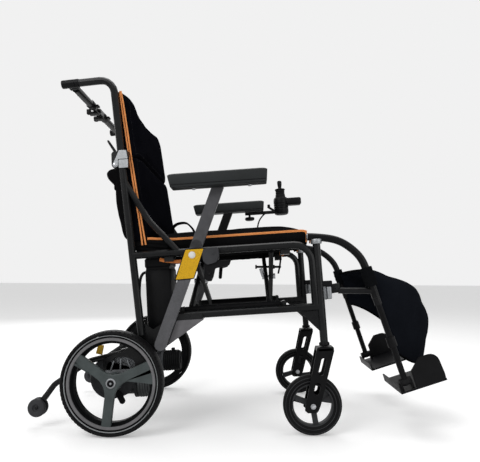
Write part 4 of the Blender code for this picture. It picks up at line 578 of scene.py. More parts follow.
def tube(points, radius, sides=16, caps=True, cyclic=False):
    """A round tube along points, as a mesh."""
    curve = bpy.data.curves.new("tube", "CURVE")
    curve.dimensions = "3D"
    curve.bevel_depth = radius
    curve.bevel_resolution = max(1, sides // 4 - 1)
    curve.use_fill_caps = caps
    spline = curve.splines.new("POLY")
    spline.points.add(len(points) - 1)
    for target, point in zip(spline.points, points):
        target.co = (*point, 1.0)
    spline.use_cyclic_u = cyclic
    spline.use_smooth = True
    return crease(plain(link(bpy.data.objects.new("tube", curve))), 40)


def flat(outlines, thickness, placing, bevel=0.0):
    """A plate from its outline and its holes, drawn in placing's XY plane, with round edges."""
    curve = bpy.data.curves.new("plate", "CURVE")
    curve.dimensions = "2D"
    curve.fill_mode = "BOTH"
    curve.extrude = thickness / 2 - bevel
    curve.bevel_depth = bevel
    curve.bevel_resolution = 2
    curve.offset = -bevel
    for outline in outlines:
        spline = curve.splines.new("POLY")
        spline.points.add(len(outline) - 1)
        for target, point in zip(spline.points, outline):
            target.co = (*point, 0.0, 1.0)
        spline.use_cyclic_u = True
    made = link(bpy.data.objects.new("plate", curve))
    made.matrix_world = placing
    return crease(joined([made]), 35)


def block(size, centre, turn=None, bevel=0.001, segments=3):
    """A box with rounded edges."""
    shape = bmesh.new()
    placing = Matrix.Translation(centre) @ (turn or Matrix.Identity(4))
    bmesh.ops.create_cube(shape, size=1.0, matrix=placing @ Matrix.Diagonal((*size, 1.0)))
    bmesh.ops.bevel(shape, geom=shape.edges[:], offset=bevel, segments=segments, affect="EDGES", profile=0.5)
    mesh = bpy.data.meshes.new("block")
    shape.to_mesh(mesh)
    shape.free()
    return crease(link(bpy.data.objects.new("block", mesh)), 35)


def arc(centre, radius, start, end, steps=12):
    """Points of a flat arc between two angles, in degrees."""
    points = []
    for i in range(steps + 1):
        angle = math.radians(start + (end - start) * i / steps)
        points.append((centre[0] + radius * math.cos(angle), centre[1] + radius * math.sin(angle)))
    return points


def smooth_route(route, count):
    """Evenly numbered points of a smooth curve through a route's own points."""
    padded = [route[0] * 2 - route[1]] + list(route) + [route[-1] * 2 - route[-2]]
    spans = len(route) - 1
    points = []
    for i in range(count):
        place = spans * i / (count - 1)
        span = min(int(place), spans - 1)
        t = place - span
        a, b, c, d = padded[span : span + 4]
        bend = (2 * a - 5 * b + 4 * c - d) * t * t + (3 * b - a - 3 * c + d) * t * t * t
        points.append(0.5 * (2 * b + (c - a) * t + bend))
    return points


def relaxed(points, rounds):
    """A route's points, each drawn to the middle of its neighbours again and again."""
    for _ in range(rounds):
        inner = [(a + b * 2 + c) / 4 for a, b, c in zip(points, points[1:], points[2:])]
        points = [points[0]] + inner + [points[-1]]
    return points


def plane(place, turn):
    """Placing of a plate at place, drawn in turn's own X and Z and lying across Y."""
    x_axis = turn @ Vector((1, 0, 0))
    y_axis = turn @ Vector((0, 0, 1))
    lying = Matrix((x_axis, y_axis, Vector((0, -1, 0)))).transposed().to_4x4()
    return Matrix.Translation(place) @ lying


def frame_plane(y):
    """Placing of a plate drawn in u and w, lying across Y at y."""
    return plane(framed(0, y, 0), FRAME_TURN)


def round_polygon(corners, radius, steps=4):
    """A polygon's outline with each corner rounded."""
    path = []
    count = len(corners)
    for i, corner in enumerate(corners):
        here = Vector(corner)
        come = (Vector(corners[i - 1]) - here).normalized()
        leave = (Vector(corners[(i + 1) % count]) - here).normalized()
        start, end = here + come * radius, here + leave * radius
        for k in range(steps + 1):
            t = k / steps
            place = start * (1 - t) ** 2 + here * 2 * t * (1 - t) + end * t * t
            path.append((place.x, place.y))
    return path


def plate(corners, y, thickness, rounding, bevel, steps=4, holes=()):
    """A plate with round corners and edges, drawn in u and w, lying across Y at y."""
    return flat([round_polygon(corners, rounding, steps), *holes], thickness, frame_plane(y), bevel)


def upright(u, y, w=0.0):
    """Placing of a piece that stands square to the rails."""
    return Matrix.Translation(framed(u, y, w)) @ FRAME_TURN


def aimed(start, end):
    """Placing at start whose local Z points to end."""
    return Matrix.Translation(start) @ (end - start).to_track_quat("Z", "Y").to_matrix().to_4x4()


def facing(face, side):
    """Whether a face looks out of the chair or into it, for a piece's name."""
    return "out" if face == side else "in"


def outward(side, centre):
    """Placing of a turned piece whose local Z points out of the chair."""
    return Matrix.Translation(centre) @ Matrix.Rotation(math.radians(-90 * side), 4, "X")


# Wheels

CROSS_GROOVES = 72
GROOVE_STEPS = 8
RIM_STEPS = 144
REAR_SPOKE_ANGLE = 25.0
CASTOR_SPOKE_ANGLE = 40.0


def mirrored(rows):
    """A profile's half, from the middle outwards, with its other half before it."""
    return [(-row[0], *row[1:]) for row in reversed(rows)] + list(rows)


def tread_rows(crown, tread, drop, grooves, groove_half, depth, sawn_from, sawn):
    """Half of a tread, from the middle out: distance, radius and how deep cross grooves cut."""
    wall = 0.0004
    stops = [0.0005]
    for groove in grooves:
        inner, outer = groove - groove_half, groove + groove_half
        stops += [inner - wall, inner, outer, outer + wall]
    stops += [sawn_from, sawn_from + wall, (sawn_from + tread) / 2, tread]
    rows = []
    for out in stops:
        radius = crown - drop * (out / tread) ** 2.4
        in_groove = any(abs(out - groove) <= groove_half for groove in grooves)
        rows.append((out, radius - (depth if in_groove else 0.0), sawn if out > sawn_from else 0.0))
    return rows


def swept_tyre(rows, centre, steps, sawn_every):
    """A tyre swept round the axle from its rows, with cross grooves sawn into its shoulders."""
    points = []
    for i in range(steps):
        angle = 2 * math.pi * i / steps
        for out, radius, sawn in rows:
            phase = (i + (sawn_every // 2 if out > 0 else 0)) % sawn_every
            reach = radius - (sawn if sawn and phase < 2 else 0.0)
            points.append(centre + Vector((reach * math.cos(angle), out, reach * math.sin(angle))))
    return crease(mesh_of(points, lattice(steps, len(rows), len(rows))), 38)


def rear_tyre(side, name):
    """The solid rear tyre: two grooves round each half of the tread and sawn shoulders."""
    rows = tread_rows(WHEEL_RADIUS, 0.02, 0.003, (0.005, 0.0115), 0.0008, 0.0016, 0.015, 0.0014)
    rows += mm(
        (21.3, 124.7, 1.2), (22.1, 123.6, 0), (22.5, 122.2, 0), (22.3, 120.6, 0), (21.4, 119.4, 0),
        (19.8, 118.7, 0), (18.6, 118, 0), (17.6, 117.7, 0),
    )
    centre = Vector((AXLE.x, side * WHEEL_Y, AXLE.z))
    made = swept_tyre(mirrored(rows), centre, CROSS_GROOVES * GROOVE_STEPS, GROOVE_STEPS)
    finish_piece(made, name + "_rear_tyre", name + "_wheel", TYRE, name + "_wheel_tyre")


def window(angle, reach, width, fillet, steps):
    """The gap between two spokes, a third of a turn apart, with a round fillet at the hub."""
    half = math.radians(60)
    middle = (width / 2 + fillet) / math.sin(half)
    centre_angle = math.radians(angle) + half
    centre = (middle * math.cos(centre_angle), middle * math.sin(centre_angle))
    spread = math.degrees(math.asin(width / 2 / reach))
    outline = arc(centre, fillet, angle + 270, angle + 210, steps)
    return outline + arc((0, 0), reach, angle + 120 - spread, angle + spread, 3 * steps)


def spider(placing, low, high, outer, reach, width, fillet, first, bevel):
    """The three spokes and their flared middle, as one plate with round edges."""
    outline = arc((0, 0), outer, 0, 360, 72)[:-1]
    windows = [window(first + 120 * i, reach, width, fillet, 10) for i in range(3)]
    middle = placing @ Matrix.Translation((0, 0, (low + high) / 2))
    return flat([outline] + windows, high - low, middle, bevel)


def rear_rim(side, name):
    """The cast rear rim: a thin bright lip, a groove, a broad band, spokes and a deep barrel."""
    placing = outward(side, Vector((AXLE.x, side * WHEEL_Y, AXLE.z)))
    body = name + "_wheel"
    profile = mm(
        (117.2, 15), (115.2, 15.8), (113.8, 13.6), (111.2, 13.8), (103.4, 13.8), (102.6, 12), (98.5, 5),
        (96.5, -1), (95.8, -11), (96.2, -14), (98.5, -16), (110, -16.6), (116.5, -18), (117.2, -15),
    )
    barrel = spin(profile, placing, RIM_STEPS, closed=True)
    back = spider(placing, -0.006, 0.005, 0.099, 0.096, 0.013, 0.06, REAR_SPOKE_ANGLE, 0.001)
    finish_piece(joined([barrel, back]), name + "_rear_rim", body, BARREL_PAINT, name + "_wheel_rim")
    lip = mm((115.3, 15), (115.4, 18.2), (115.9, 19), (116.8, 19), (117.3, 18), (117.3, 15))
    band = mm((103.5, 13), (103.7, 16.8), (104.6, 17.7), (110, 17.7), (110.9, 16.8), (110.9, 13))
    for label, look, ring in (("rim_lip", LIP_PAINT, lip), ("rim_band", BAND_PAINT, band)):
        finish_piece(spin(ring, placing, RIM_STEPS, closed=True), f"{name}_{label}", body, look)
    arms = spider(placing, 0.0035, 0.0162, 0.1078, 0.1068, 0.0238, 0.05, REAR_SPOKE_ANGLE, 0.0022)
    hub = mm(
        (0, 15), (15, 15), (17.5, 14.4), (19, 12), (22.5, -10), (21.5, -19.5), (20, -20.5), (8.5, -20.5),
        (0, -20.5),
    )
    finish_piece(joined([arms, spin(hub, placing, 48)]), name + "_rear_spokes", body, RIM_PAINT)
    cap = mm(
        (0, 18.8), (2.4, 18.6), (3, 17.8), (3.1, 16.8), (8.8, 16.8), (8.9, 18.2), (10.2, 18.4), (11.6, 18),
        (12.6, 17), (13, 15.6), (13, 14), (0, 14),
    )
    finish_piece(spin(cap, placing, 48), name + "_hub_cap", body, SILVER)
    inlay = mm((3.4, 16), (3.5, 17.6), (4.1, 17.9), (7.8, 17.9), (8.5, 17.5), (8.6, 16))
    finish_piece(spin(inlay, placing, 48, closed=True), name + "_hub_inlay", body, BLACK_PLASTIC)


def castor_wheel(side, name):
    """The front castor: a smooth solid tyre with thin grey rings on its sides as painted highlights, and a
    hub with three spokes.
    """
    centre = Vector((CASTOR_AXLE.x, side * SIDE_Y, CASTOR_AXLE.z))
    body = name + "_castor"
    rows = tread_rows(CASTOR_RADIUS, 0.0128, 0.0026, (0.007,), 0.0006, 0.0009, 0.01, 0.0)
    rows += mm(
        (14.2, 69.7, 0), (14.9, 67.6, 0), (15, 65, 0), (14.3, 62.6, 0), (13.6, 61.2, 0), (13.6, 60, 0),
        (14.1, 58.8, 0), (14, 57.2, 0), (12.8, 55.2, 0), (11.7, 52.2, 0),
    )
    made = swept_tyre(mirrored(rows), centre, 160, 4)
    finish_piece(made, name + "_castor_tyre_skin", body, TYRE, name + "_castor_tyre")
    placing = outward(side, centre)
    # Thin grey rings on both faces of the tyre are painted highlights: they stand for the glints along its
    # glossy sidewall.
    highlight_rings = []
    for radius, height in ((0.0676, 0.015), (0.0588, 0.0142)):
        for face in (-1, 1):
            ring = [placing @ Vector((x, y, face * height)) for x, y in arc((0, 0), radius, 0, 360, 120)[:-1]]
            highlight_rings.append(tube(ring, 0.0007, 8, caps=False, cyclic=True))
    finish_piece(joined(highlight_rings), name + "_castor_tyre_highlight_rings", body, GREY_PLASTIC, slot="tyre")
    profile = mm((51.9, 10), (51.7, 11.6), (50.8, 12), (50, 11.8), (49, 10.8), (48.1, 7), (47.6, 2))
    profile += [(radius, -height) for radius, height in reversed(profile)]
    band = spin(profile, placing, 96, closed=True)
    arms = spider(placing, -0.005, 0.005, 0.05, 0.0478, 0.014, 0.026, CASTOR_SPOKE_ANGLE, 0.0014)
    hub = mm((4.6, 14.6), (12, 14.6), (13.8, 13.2), (14.2, 10), (15, 0))
    hub += [(radius, -height) for radius, height in reversed(hub[:-1])]
    made = joined([band, arms, spin(hub, placing, 48, closed=True)])
    finish_piece(made, name + "_castor_rim", body, CASTOR_PAINT, name + "_castor_hub")


def castor_fork(side, name):
    """The castor's fork: two slotted cheeks with a squared foot, under a solid crown."""
    y = side * SIDE_Y
    outline = mm(
        (514.5, 51.5), (548.5, 51.5), (556.8, 43), (512.8, -88), (506.9, -100.4), (501.5, -106),
        (479.5, -105), (472.6, -98.5), (475.8, -86),
    )
    slots = []
    for high, low in (((0.529, 0.019), (0.5196, -0.01)), ((0.51, -0.04), (0.5049, -0.056))):
        lean = math.degrees(math.atan2(high[1] - low[1], high[0] - low[0]))
        slots.append(arc(high, 0.0065, lean - 90, lean + 90) + arc(low, 0.0065, lean + 90, lean + 270))
    cheeks = [plate(outline, y + away * 0.0215, 0.004, 0.0016, 0.0007, 3, slots) for away in (-1, 1)]
    crown = block((0.0425, 0.047, 0.012), framed(0.5355, y, 0.0458), FRAME_TURN, 0.0035, 4)
    made = joined(cheeks + [crown])
    finish_piece(made, name + "_fork_casting", name + "_fork", BLACK_PAINT, name + "_castor_fork")


def castor_fittings(side, name):
    """The castor's axle bolt and nut, and the collar over its fork."""
    centre = Vector((CASTOR_AXLE.x, side * SIDE_Y, CASTOR_AXLE.z))
    head = mm(
        (0, 29.6), (3, 29.6), (4.4, 29), (5, 27.6), (5.2, 25.6), (6.4, 25.4), (6.7, 24.8), (6.7, 23.8),
        (0, 23.8),
    )
    for face in (-1, 1):
        made = spin(head, outward(face, centre), 32)
        finish_piece(made, f"{name}_castor_bolt_{facing(face, side)}", name + "_fork", STEEL)
    collar = mm(
        (11.4, 0), (12.8, 0.6), (13.4, 3), (13.4, 6.4), (12.6, 7.8), (11.4, 8.6), (10.5, 8.6), (10.5, 0),
    )
    made = spin(collar, upright(POST_U, side * SIDE_Y, 0.0535), 48, closed=True)
    finish_piece(made, name + "_post_collar", name + "_side", BLACK_PLASTIC)


def anti_tip_wheel(side, name):
    """The small double anti-tip wheel, with round shoulders and dished faces."""
    node = name + "_anti_tip_wheel"
    low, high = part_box(node)
    centre = (low + high) / 2
    radius = (high.z - low.z) / 2
    half = mm((0, 9.8), (7, 9.8), (8.6, 10.6), (9.4, 12.8), (10.8, 13.8))
    shoulder = mm((4, 14), (1.6, 12.8), (0.2, 10.4), (0, 9), (0, 6.2), (0.6, 5.2))
    half += [(radius - inset, height) for inset, height in shoulder] + [(0.0048, 0.0052)]
    made = spin(half + [(reach, -height) for reach, height in reversed(half)], outward(side, centre), 64)
    finish_piece(made, name + "_anti_tip_roller", name + "_anti_tip", GREY_PLASTIC, node, "rubber")
    nut = mm((0, 12.8), (2.8, 12.8), (4, 12), (4.4, 9.6), (0, 9.6))
    for face in (-1, 1):
        made = spin(nut, outward(face, centre), 24)
        label = f"{name}_anti_tip_nut_{facing(face, side)}"
        finish_piece(made, label, name + "_anti_tip", FRAME_PAINT, slot="black_plastic")


# Soft goods

FOLD_ANCHOR = Vector((0, -SIDE_Y, 0))
FRAME_KEEP = 0.54
SLING_KEEP = 0.53
SEAT_BRACE = {-1: "cross_b", 1: "cross_a"}
STITCH_PITCH = 0.0045
STITCH_SIZE = 0.001
SEAT_REAR_U = 0.094
SEAT_FRONT_U = 0.515
SEAT_HALF_WIDTH = 0.212
SEAT_LOW_W = 0.324
SEAT_EDGE_W = 0.3515
SEAT_CROWN = 0.018
SEAT_TUBE_Y = 0.2
SEAT_TUBE_W = 0.313
PANEL_SPLIT_W = 0.581
BACK_TOP_W = 0.765
BACK_FOOT_W = 0.352
BACK_HALF_WIDTH = 0.2172
BACK_CROWN = 0.0245


def soft_form(counts, shape):
    """A closed box of quads, counts along each axis, that shape(a, b, c) places, from -1 to 1.

    Returns it with the indices of the points on the box's edges, where its seams are.
    """
    index = {}
    points = []
    seams = []

    def point_at(key):
        if key not in index:
            index[key] = len(points)
            points.append(shape(*(2 * n / count - 1 for n, count in zip(key, counts))))
            if sum(n in (0, count) for n, count in zip(key, counts)) >= 2:
                seams.append(index[key])
        return index[key]

    faces = []
    for axis in range(3):
        first, second = (axis + 1) % 3, (axis + 2) % 3
        for end in (0, counts[axis]):
            for m in range(counts[first]):
                for n in range(counts[second]):
                    corners = []
                    for step_m, step_n in ((0, 0), (1, 0), (1, 1), (0, 1)):
                        key = [0, 0, 0]
                        key[axis] = end
                        key[first] = m + step_m
                        key[second] = n + step_n
                        corners.append(point_at(tuple(key)))
                    faces.append(corners)
    return mesh_of(points, faces), seams


def swell(made, pinned, pressure, slack, cap, frames=18):
    """Blows a soft form up as cloth, held at its seams, and keeps the shape it takes.

    Slack is the share by which the cloth is longer than the form, which makes its creases, and
    no point moves further than cap.
    """
    scene = bpy.context.scene
    scene.gravity = (0, 0, 0)
    group = made.vertex_groups.new(name="seams")
    group.add(pinned, 1.0, "REPLACE")
    cloth = made.modifiers.new("cloth", "CLOTH")
    settings = cloth.settings
    settings.quality = 5
    settings.mass = 0.25
    settings.tension_stiffness = 18
    settings.compression_stiffness = 18
    settings.shear_stiffness = 6
    settings.bending_stiffness = 0.35
    settings.use_pressure = True
    settings.uniform_pressure_force = pressure
    settings.shrink_min = -slack
    settings.vertex_group_mass = "seams"
    settings.effector_weights.gravity = 0
    cloth.collision_settings.use_collision = False
    cloth.point_cache.frame_start = 1
    cloth.point_cache.frame_end = frames
    rest = [vertex.co.copy() for vertex in made.data.vertices]
    for number in range(1, frames + 1):
        scene.frame_set(number)
    evaluated = made.evaluated_get(bpy.context.evaluated_depsgraph_get())
    moved = [vertex.co.copy() for vertex in evaluated.data.vertices]
    made.modifiers.remove(cloth)
    made.vertex_groups.remove(group)
    scene.frame_set(1)
    for vertex, before, after in zip(made.data.vertices, rest, moved):
        step = after - before
        if step.length > cap:
            step *= cap / step.length
        vertex.co = before + step
    made.data.update()


def smoothed(made, levels=1):
    """Adds a subdivision surface, which stays on the piece."""
    modifier = made.modifiers.new("smooth", "SUBSURF")
    modifier.levels = levels
    modifier.render_levels = levels
    return made


def fold_with(made, keep=FRAME_KEEP, anchor=FOLD_ANCHOR):
    """Gives a soft piece its own copy of its mesh."""
    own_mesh(made)
    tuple(anchor)


def fold_across(made):
    """Bakes a seat piece's placing into its mesh."""
    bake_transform(made)


def along(points, pitch):
    """Points and directions at equal steps along a path."""
    lengths = [0.0]
    for first, second in zip(points, points[1:]):
        lengths.append(lengths[-1] + (second - first).length)
    count = max(2, int(lengths[-1] / pitch))
    found = []
    span = 0
    for i in range(count + 1):
        target = lengths[-1] * i / count
        while span < len(lengths) - 2 and lengths[span + 1] < target:
            span += 1
        share = (target - lengths[span]) / max(lengths[span + 1] - lengths[span], 1e-9)
        step = points[span + 1] - points[span]
        found.append((points[span] + step * share, step.normalized()))
    return found


def crumpled(made, *waves):
    """Shifts each point of slack cloth softly at random: each wave has a size and a depth."""
    for vertex in made.data.vertices:
        shift = Vector()
        for size, depth in waves:
            shift += noise.noise_vector(vertex.co / size) * depth
        vertex.co += shift
    return smoothed(made)


def stitching(name, target, paths, body):
    """Rows of stitches that lie on a piece's surface along paths near it."""
    depsgraph = bpy.context.evaluated_depsgraph_get()
    bpy.context.view_layer.update()
    evaluated = target.evaluated_get(depsgraph)
    shape = bmesh.new()
    for path in paths:
        for place, direction in along(path, STITCH_PITCH):
            found, spot, normal, _ = evaluated.closest_point_on_mesh(place)
            if not found:
                continue
            forward = (direction - normal * direction.dot(normal)).normalized()
            turn = Matrix((forward, normal.cross(forward), normal)).transposed().to_4x4()
            placing = Matrix.Translation(spot + normal * STITCH_SIZE * 0.25) @ turn
            scale = Matrix.Diagonal((STITCH_PITCH * 0.3, STITCH_SIZE * 0.5, STITCH_SIZE * 0.4, 1.0))
            bmesh.ops.create_icosphere(shape, subdivisions=1, radius=1.0, matrix=placing @ scale)
    mesh = bpy.data.meshes.new(name)
    shape.to_mesh(mesh)
    shape.free()
    mesh.shade_smooth()
    return finish_piece(link(bpy.data.objects.new(name, mesh)), name, body, THREAD)


def seat_edge_w(u):
    """Height of the seat's piping, which rises a little at the rear."""
    rear = max(0.0, (0.17 - u) / 0.07)
    front = max(0.0, (u - 0.5) / 0.015)
    return SEAT_EDGE_W + 0.006 * min(1.0, rear) ** 1.5 - 0.0035 * front**2


def seat_shape(a, b, c):
    """A point of the seat: forward, across and up, each from -1 to 1."""
    drawn_u = 1 - 0.01 * (1 - b * b)
    drawn_y = 1 - 0.008 * (1 - a * a)
    u = (SEAT_REAR_U + SEAT_FRONT_U) / 2 + a * (SEAT_FRONT_U - SEAT_REAR_U) / 2 * drawn_u
    y = b * SEAT_HALF_WIDTH * drawn_y
    edge = seat_edge_w(u)
    share = (c + 1) / 2
    w = SEAT_LOW_W + (edge - SEAT_LOW_W) * share
    if c == 1:
        w += SEAT_CROWN * (1 - abs(a) ** 7) * (1 - abs(b) ** 7)
    if abs(b) == 1:
        y += math.copysign(0.0016, b) * math.sin(math.pi * share)
    if a == 1:
        u += 0.004 * math.sin(math.pi * share)
    return framed(u, y, w)


def seat_ring():
    """The seam round the seat at its top edge, as a closed path."""
    corners = [(-1, -1), (1, -1), (1, 1), (-1, 1), (-1, -1)]
    path = []
    for (a, b), (next_a, next_b) in zip(corners, corners[1:]):
        for i in range(60):
            share = i / 60
            path.append(seat_shape(a + (next_a - a) * share, b + (next_b - b) * share, 1))
    return path


def seat():
    """The padded seat, blown up at its seams."""
    made, seams = soft_form((56, 56, 5), seat_shape)
    swell(made, seams, 3.2, 0.012, 0.007)
    crumpled(made, (0.055, 0.0007))
    finish_piece(made, "seat_pad", None, BLACK_FABRIC, "seat_cushion")
    fold_across(made)
    return made


def seat_trim(pad):
    """Orange piping round the seat's top seam and down its front corners, with its stitching."""
    for label, shift in (("upper", 0.0015), ("lower", -0.0015)):
        lift = FRAME_TURN @ Vector((0, 0, shift))
        made = tube([place + lift for place in seat_ring()], 0.0017, 12, caps=False, cyclic=True)
        finish_piece(made, f"seat_{label}_piping", None, ORANGE)
        fold_across(made)
    for side, name in SIDES:
        y = side * (SEAT_HALF_WIDTH + 0.0012)
        corners = (("side", 0.5135, 0.347, 0.3205, y), ("front", 0.523, 0.341, 0.317, y - side * 0.01))
        for label, u, top, foot, y in corners:
            route = [framed(u - 0.004, y, top + 0.002), framed(u, y, top - 0.003)]
            route += [framed(u, y, (top + foot) / 2), framed(u - 0.001, y, foot)]
            cord = tube(smooth_route(route, 16), 0.002, 12)
            finish_piece(cord, f"{name}_seat_{label}_piping", None, ORANGE)
            fold_across(cord)
    rows = [[framed(u, y, SEAT_EDGE_W + shift) for u, y in inset_ring(shift)] for shift in (0.012, -0.004)]
    fold_across(stitching("seat_stitching", pad, rows, None))


def inset_ring(inset):
    """The seat's outline in u and y, drawn in by inset."""
    rear, front = SEAT_REAR_U + inset, SEAT_FRONT_U - inset
    half = SEAT_HALF_WIDTH - inset
    corners = [(rear, -half), (front, -half), (front, half), (rear, half), (rear, -half)]
    path = []
    for (u, y), (next_u, next_y) in zip(corners, corners[1:]):
        path += [(u + (next_u - u) * i / 24, y + (next_y - y) * i / 24) for i in range(24)]
    return path


def front_flap():
    """The seat's front edge, which bulges over the ends of the seat tubes."""

    def shape(a, b, c):
        share = (b + 1) / 2
        u = 0.512 + 0.0085 * (1 - abs(a) ** 6) * math.sin(math.pi * (0.25 + 0.6 * share)) + 0.0012 * c
        return framed(u, a * 0.206, 0.317 + 0.03 * share)

    made = crumpled(soft_form((48, 8, 1), shape)[0], (0.03, 0.001))
    finish_piece(made, "seat_front_flap", None, BLACK_FABRIC)
    fold_across(made)


def rear_skirt(side, name):
    """The pleated cloth that hangs from the seat's rear corner to its rail."""

    def shape(a, b, c):
        u = 0.104 + a * 0.044 + 0.003 * b * a
        w = 0.3345 + b * 0.0165
        pleats = 0.0013 * math.sin(2 * math.pi * (w * 90 + 0.6 * a))
        return framed(u, side * (0.2148 + 0.0016 * b + pleats + 0.0005 * c), w)

    made = smoothed(soft_form((24, 26, 1), shape)[0])
    finish_piece(made, name + "_rear_skirt", SEAT_BRACE[side], BLACK_FABRIC)


def sleeve(placing, bore, start, end, radii, sides):
    """A turned cloth sleeve from start to end along placing's Z, with the radii of its slack rings."""
    steps = len(radii) - 1
    rings = [(radius, start + (end - start) * i / steps) for i, radius in enumerate(radii)]
    return spin([(bore, start), *rings, (bore, end)], placing, sides, closed=True)


def tube_sleeves(side, name):
    """The hems that hold the seat to its tubes, between the notched blocks."""
    placing = upright(0, side * SEAT_TUBE_Y, SEAT_TUBE_W) @ Matrix.Rotation(math.radians(90), 4, "Y")
    for number, (rear, front) in enumerate(mm((98, 136), (166, 440), (470, 486)), 1):
        rings = range(max(6, int((front - rear) / 0.006)) + 1)
        radii = [0.0112 + (0.0003 * math.sin(i * 1.9) + 0.0003 * math.sin(i * 0.7)) for i in rings]
        made = sleeve(placing, 0.0105, rear, front, radii, 28)
        finish_piece(made, f"{name}_seat_hem_{number}", SEAT_BRACE[side], BLACK_FABRIC)


# A strap's section, in halves of its width and thickness
STRAP_EDGE = ((-1, -0.6), (-0.94, -1), (0.94, -1), (1, -0.6), (1, 0.6), (0.94, 1), (-0.94, 1), (-1, 0.6))


def strap(points, width_direction, width, thickness):
    """A flat webbing strap along points, with its width in one direction."""
    rows = []
    for i, point in enumerate(points):
        before = points[max(0, i - 1)]
        after = points[min(len(points) - 1, i + 1)]
        tangent = (after - before).normalized()
        wide = (width_direction - tangent * width_direction.dot(tangent)).normalized()
        thick = tangent.cross(wide)
        rows.append(
            [point + wide * across * width / 2 + thick * up * thickness / 2 for across, up in STRAP_EDGE]
        )
    count = len(rows[0])
    vertices = [vertex for ring in rows for vertex in ring]
    faces = []
    for i in range(len(rows) - 1):
        for k in range(count):
            ahead = (k + 1) % count
            faces.append((i * count + k, i * count + ahead, (i + 1) * count + ahead, (i + 1) * count + k))
    faces.append(tuple(range(count)))
    faces.append(tuple((len(rows) - 1) * count + k for k in range(count)))
    return crease(mesh_of(vertices, faces), 50)


def straps():
    """The black pull loop on the seat, and the orange straps under it."""
    loop = mm(
        (144, 369), (141.5, 379), (144.5, 394.5), (159, 404.8), (183, 405.5), (198.5, 391.5), (205, 379),
        (205, 369),
    )
    rear = mm((103, 323.5), (103.5, 310.5), (120, 300), (142, 296.5), (163, 301))
    front = mm((456, 323.5), (459, 302), (472, 306), (489, 317), (511, 321))
    sagging = mm((124.6, 300), (140.4, 295.5), (156.2, 293), (171.9, 291), (185.1, 290))
    sideways = Vector((0, 1, 0))
    upwards = FRAME_TURN @ Vector((0, 0, 1))
    for name, look, y, points, count, wide, width, thickness in (
        ("seat_pull_loop", WEBBING, -0.1, loop, 48, sideways, 0.024, 0.005),
        ("side_orange_strap", ORANGE_WEB, -0.219, sagging, 30, upwards, 0.0095, 0.0014),
        ("rear_orange_strap", ORANGE_WEB, -0.1, rear, 30, sideways, 0.022, 0.0016),
        ("front_orange_strap", ORANGE_WEB, 0.1, front, 30, sideways, 0.022, 0.0016),
    ):
        made = strap(smooth_route([framed(u, y, w) for u, w in points], count), wide, width, thickness)
        on_frame = name == "side_orange_strap"
        finish_piece(made, name, "right_side" if on_frame else None, look)
        if not on_frame:
            fold_across(made)


def back_placing(low, high):
    """Placing of a back panel: local X to the left, Y up the posts and Z forward."""
    middle = (low + high) / 2
    forward = BACK_TURN @ Vector((1, 0, 0))
    up = BACK_TURN @ Vector((0, 0, 1))
    turn = Matrix((Vector((0, 1, 0)), up, forward)).transposed().to_4x4()
    return Matrix.Translation(framed(back_u(middle), 0, middle)) @ turn


def back_panel(name, body, replaced, low, high, rear, edge, slope, outer, dip=0.0):
    """A padded back panel: flat behind, crowned in front, seamed along its side edges.

    Its side edges stand edge metres forward at its middle and slope by slope. Outer is 1 where
    its upper end is its free one and -1 where its lower end is.
    """
    placing = back_placing(low, high)
    half_height = (high - low) / 2

    def shape(a, b, c):
        x = a * BACK_HALF_WIDTH * (1 - 0.006 * (1 - b * b))
        y = b * half_height * (1 - 0.004 * (1 - a * a)) - dip * (1 - a * a) * max(0.0, b) ** 6
        if b * outer > 0:
            end = 1 - abs(b) ** (2 + 14 * abs(a) ** 4 if outer > 0 else 10)
        else:
            end = 1 - 0.25 * abs(b) ** 40
        front = edge - slope * b + BACK_CROWN * (1 - abs(a) ** 14) * end
        z = rear + (front - rear) * (c + 1) / 2
        if c == -1:
            z -= 0.001 * (1 - a * a) * (1 - b * b)
        return placing @ Vector((x, y, z))

    def spread(b):
        if outer > 0:
            return 0.003 * (1 - 0.5 * max(0.0, b) ** 4)
        return 0.003 + 0.0012 * max(0.0, -b) ** 3

    made, seams = soft_form((60, int(half_height * 300), 4), shape)
    swell(made, seams, 1.6, 0.012, 0.004)
    crumpled(made, (0.07, 0.0008))
    finish_piece(made, name, body, NAVY_FABRIC, replaced)
    fold_with(made)
    for side, label in SIDES:
        for strand, shift in (("outer", 1), ("inner", -1)):
            path = []
            for i in range(41):
                b = -1 + 2 * i / 40
                place = shape(side, b, 1) + Vector((0, side * 0.0002, 0))
                path.append(place + BACK_TURN @ Vector((shift * spread(b), 0, 0)))
            if outer < 0:
                path.insert(0, path[0] + (path[0] - path[1]).normalized() * 0.014)
            cord = finish_piece(tube(path, 0.0023, 12), f"{name}_{label}_{strand}_piping", body, ORANGE)
            fold_with(cord)
    inset = BACK_HALF_WIDTH - 0.01
    lines = []
    for x in (-inset, inset):
        lines.append([placing @ Vector((x, half_height * (-0.94 + 1.88 * i / 20), 0.04)) for i in range(21)])
    for y in (-half_height + 0.01, half_height - 0.01):
        lines.append([placing @ Vector((inset * (-1 + i / 10), y, 0.04)) for i in range(21)])
    fold_with(stitching(name + "_stitching", made, lines, body))


def back():
    """The upper and lower back panels, which part at the half-fold hinge."""
    upper = {"rear": -0.0005, "edge": 0.0175, "slope": 0.003, "outer": 1, "dip": 0.004}
    lower = {"rear": 0.001, "edge": 0.0255, "slope": 0.005, "outer": -1}
    back_panel("upper_back_pad", "right_cane", "back_upper", PANEL_SPLIT_W, BACK_TOP_W, **upper)
    back_panel("lower_back_pad", "right_side", "back_lower", BACK_FOOT_W, PANEL_SPLIT_W - 0.0006, **lower)


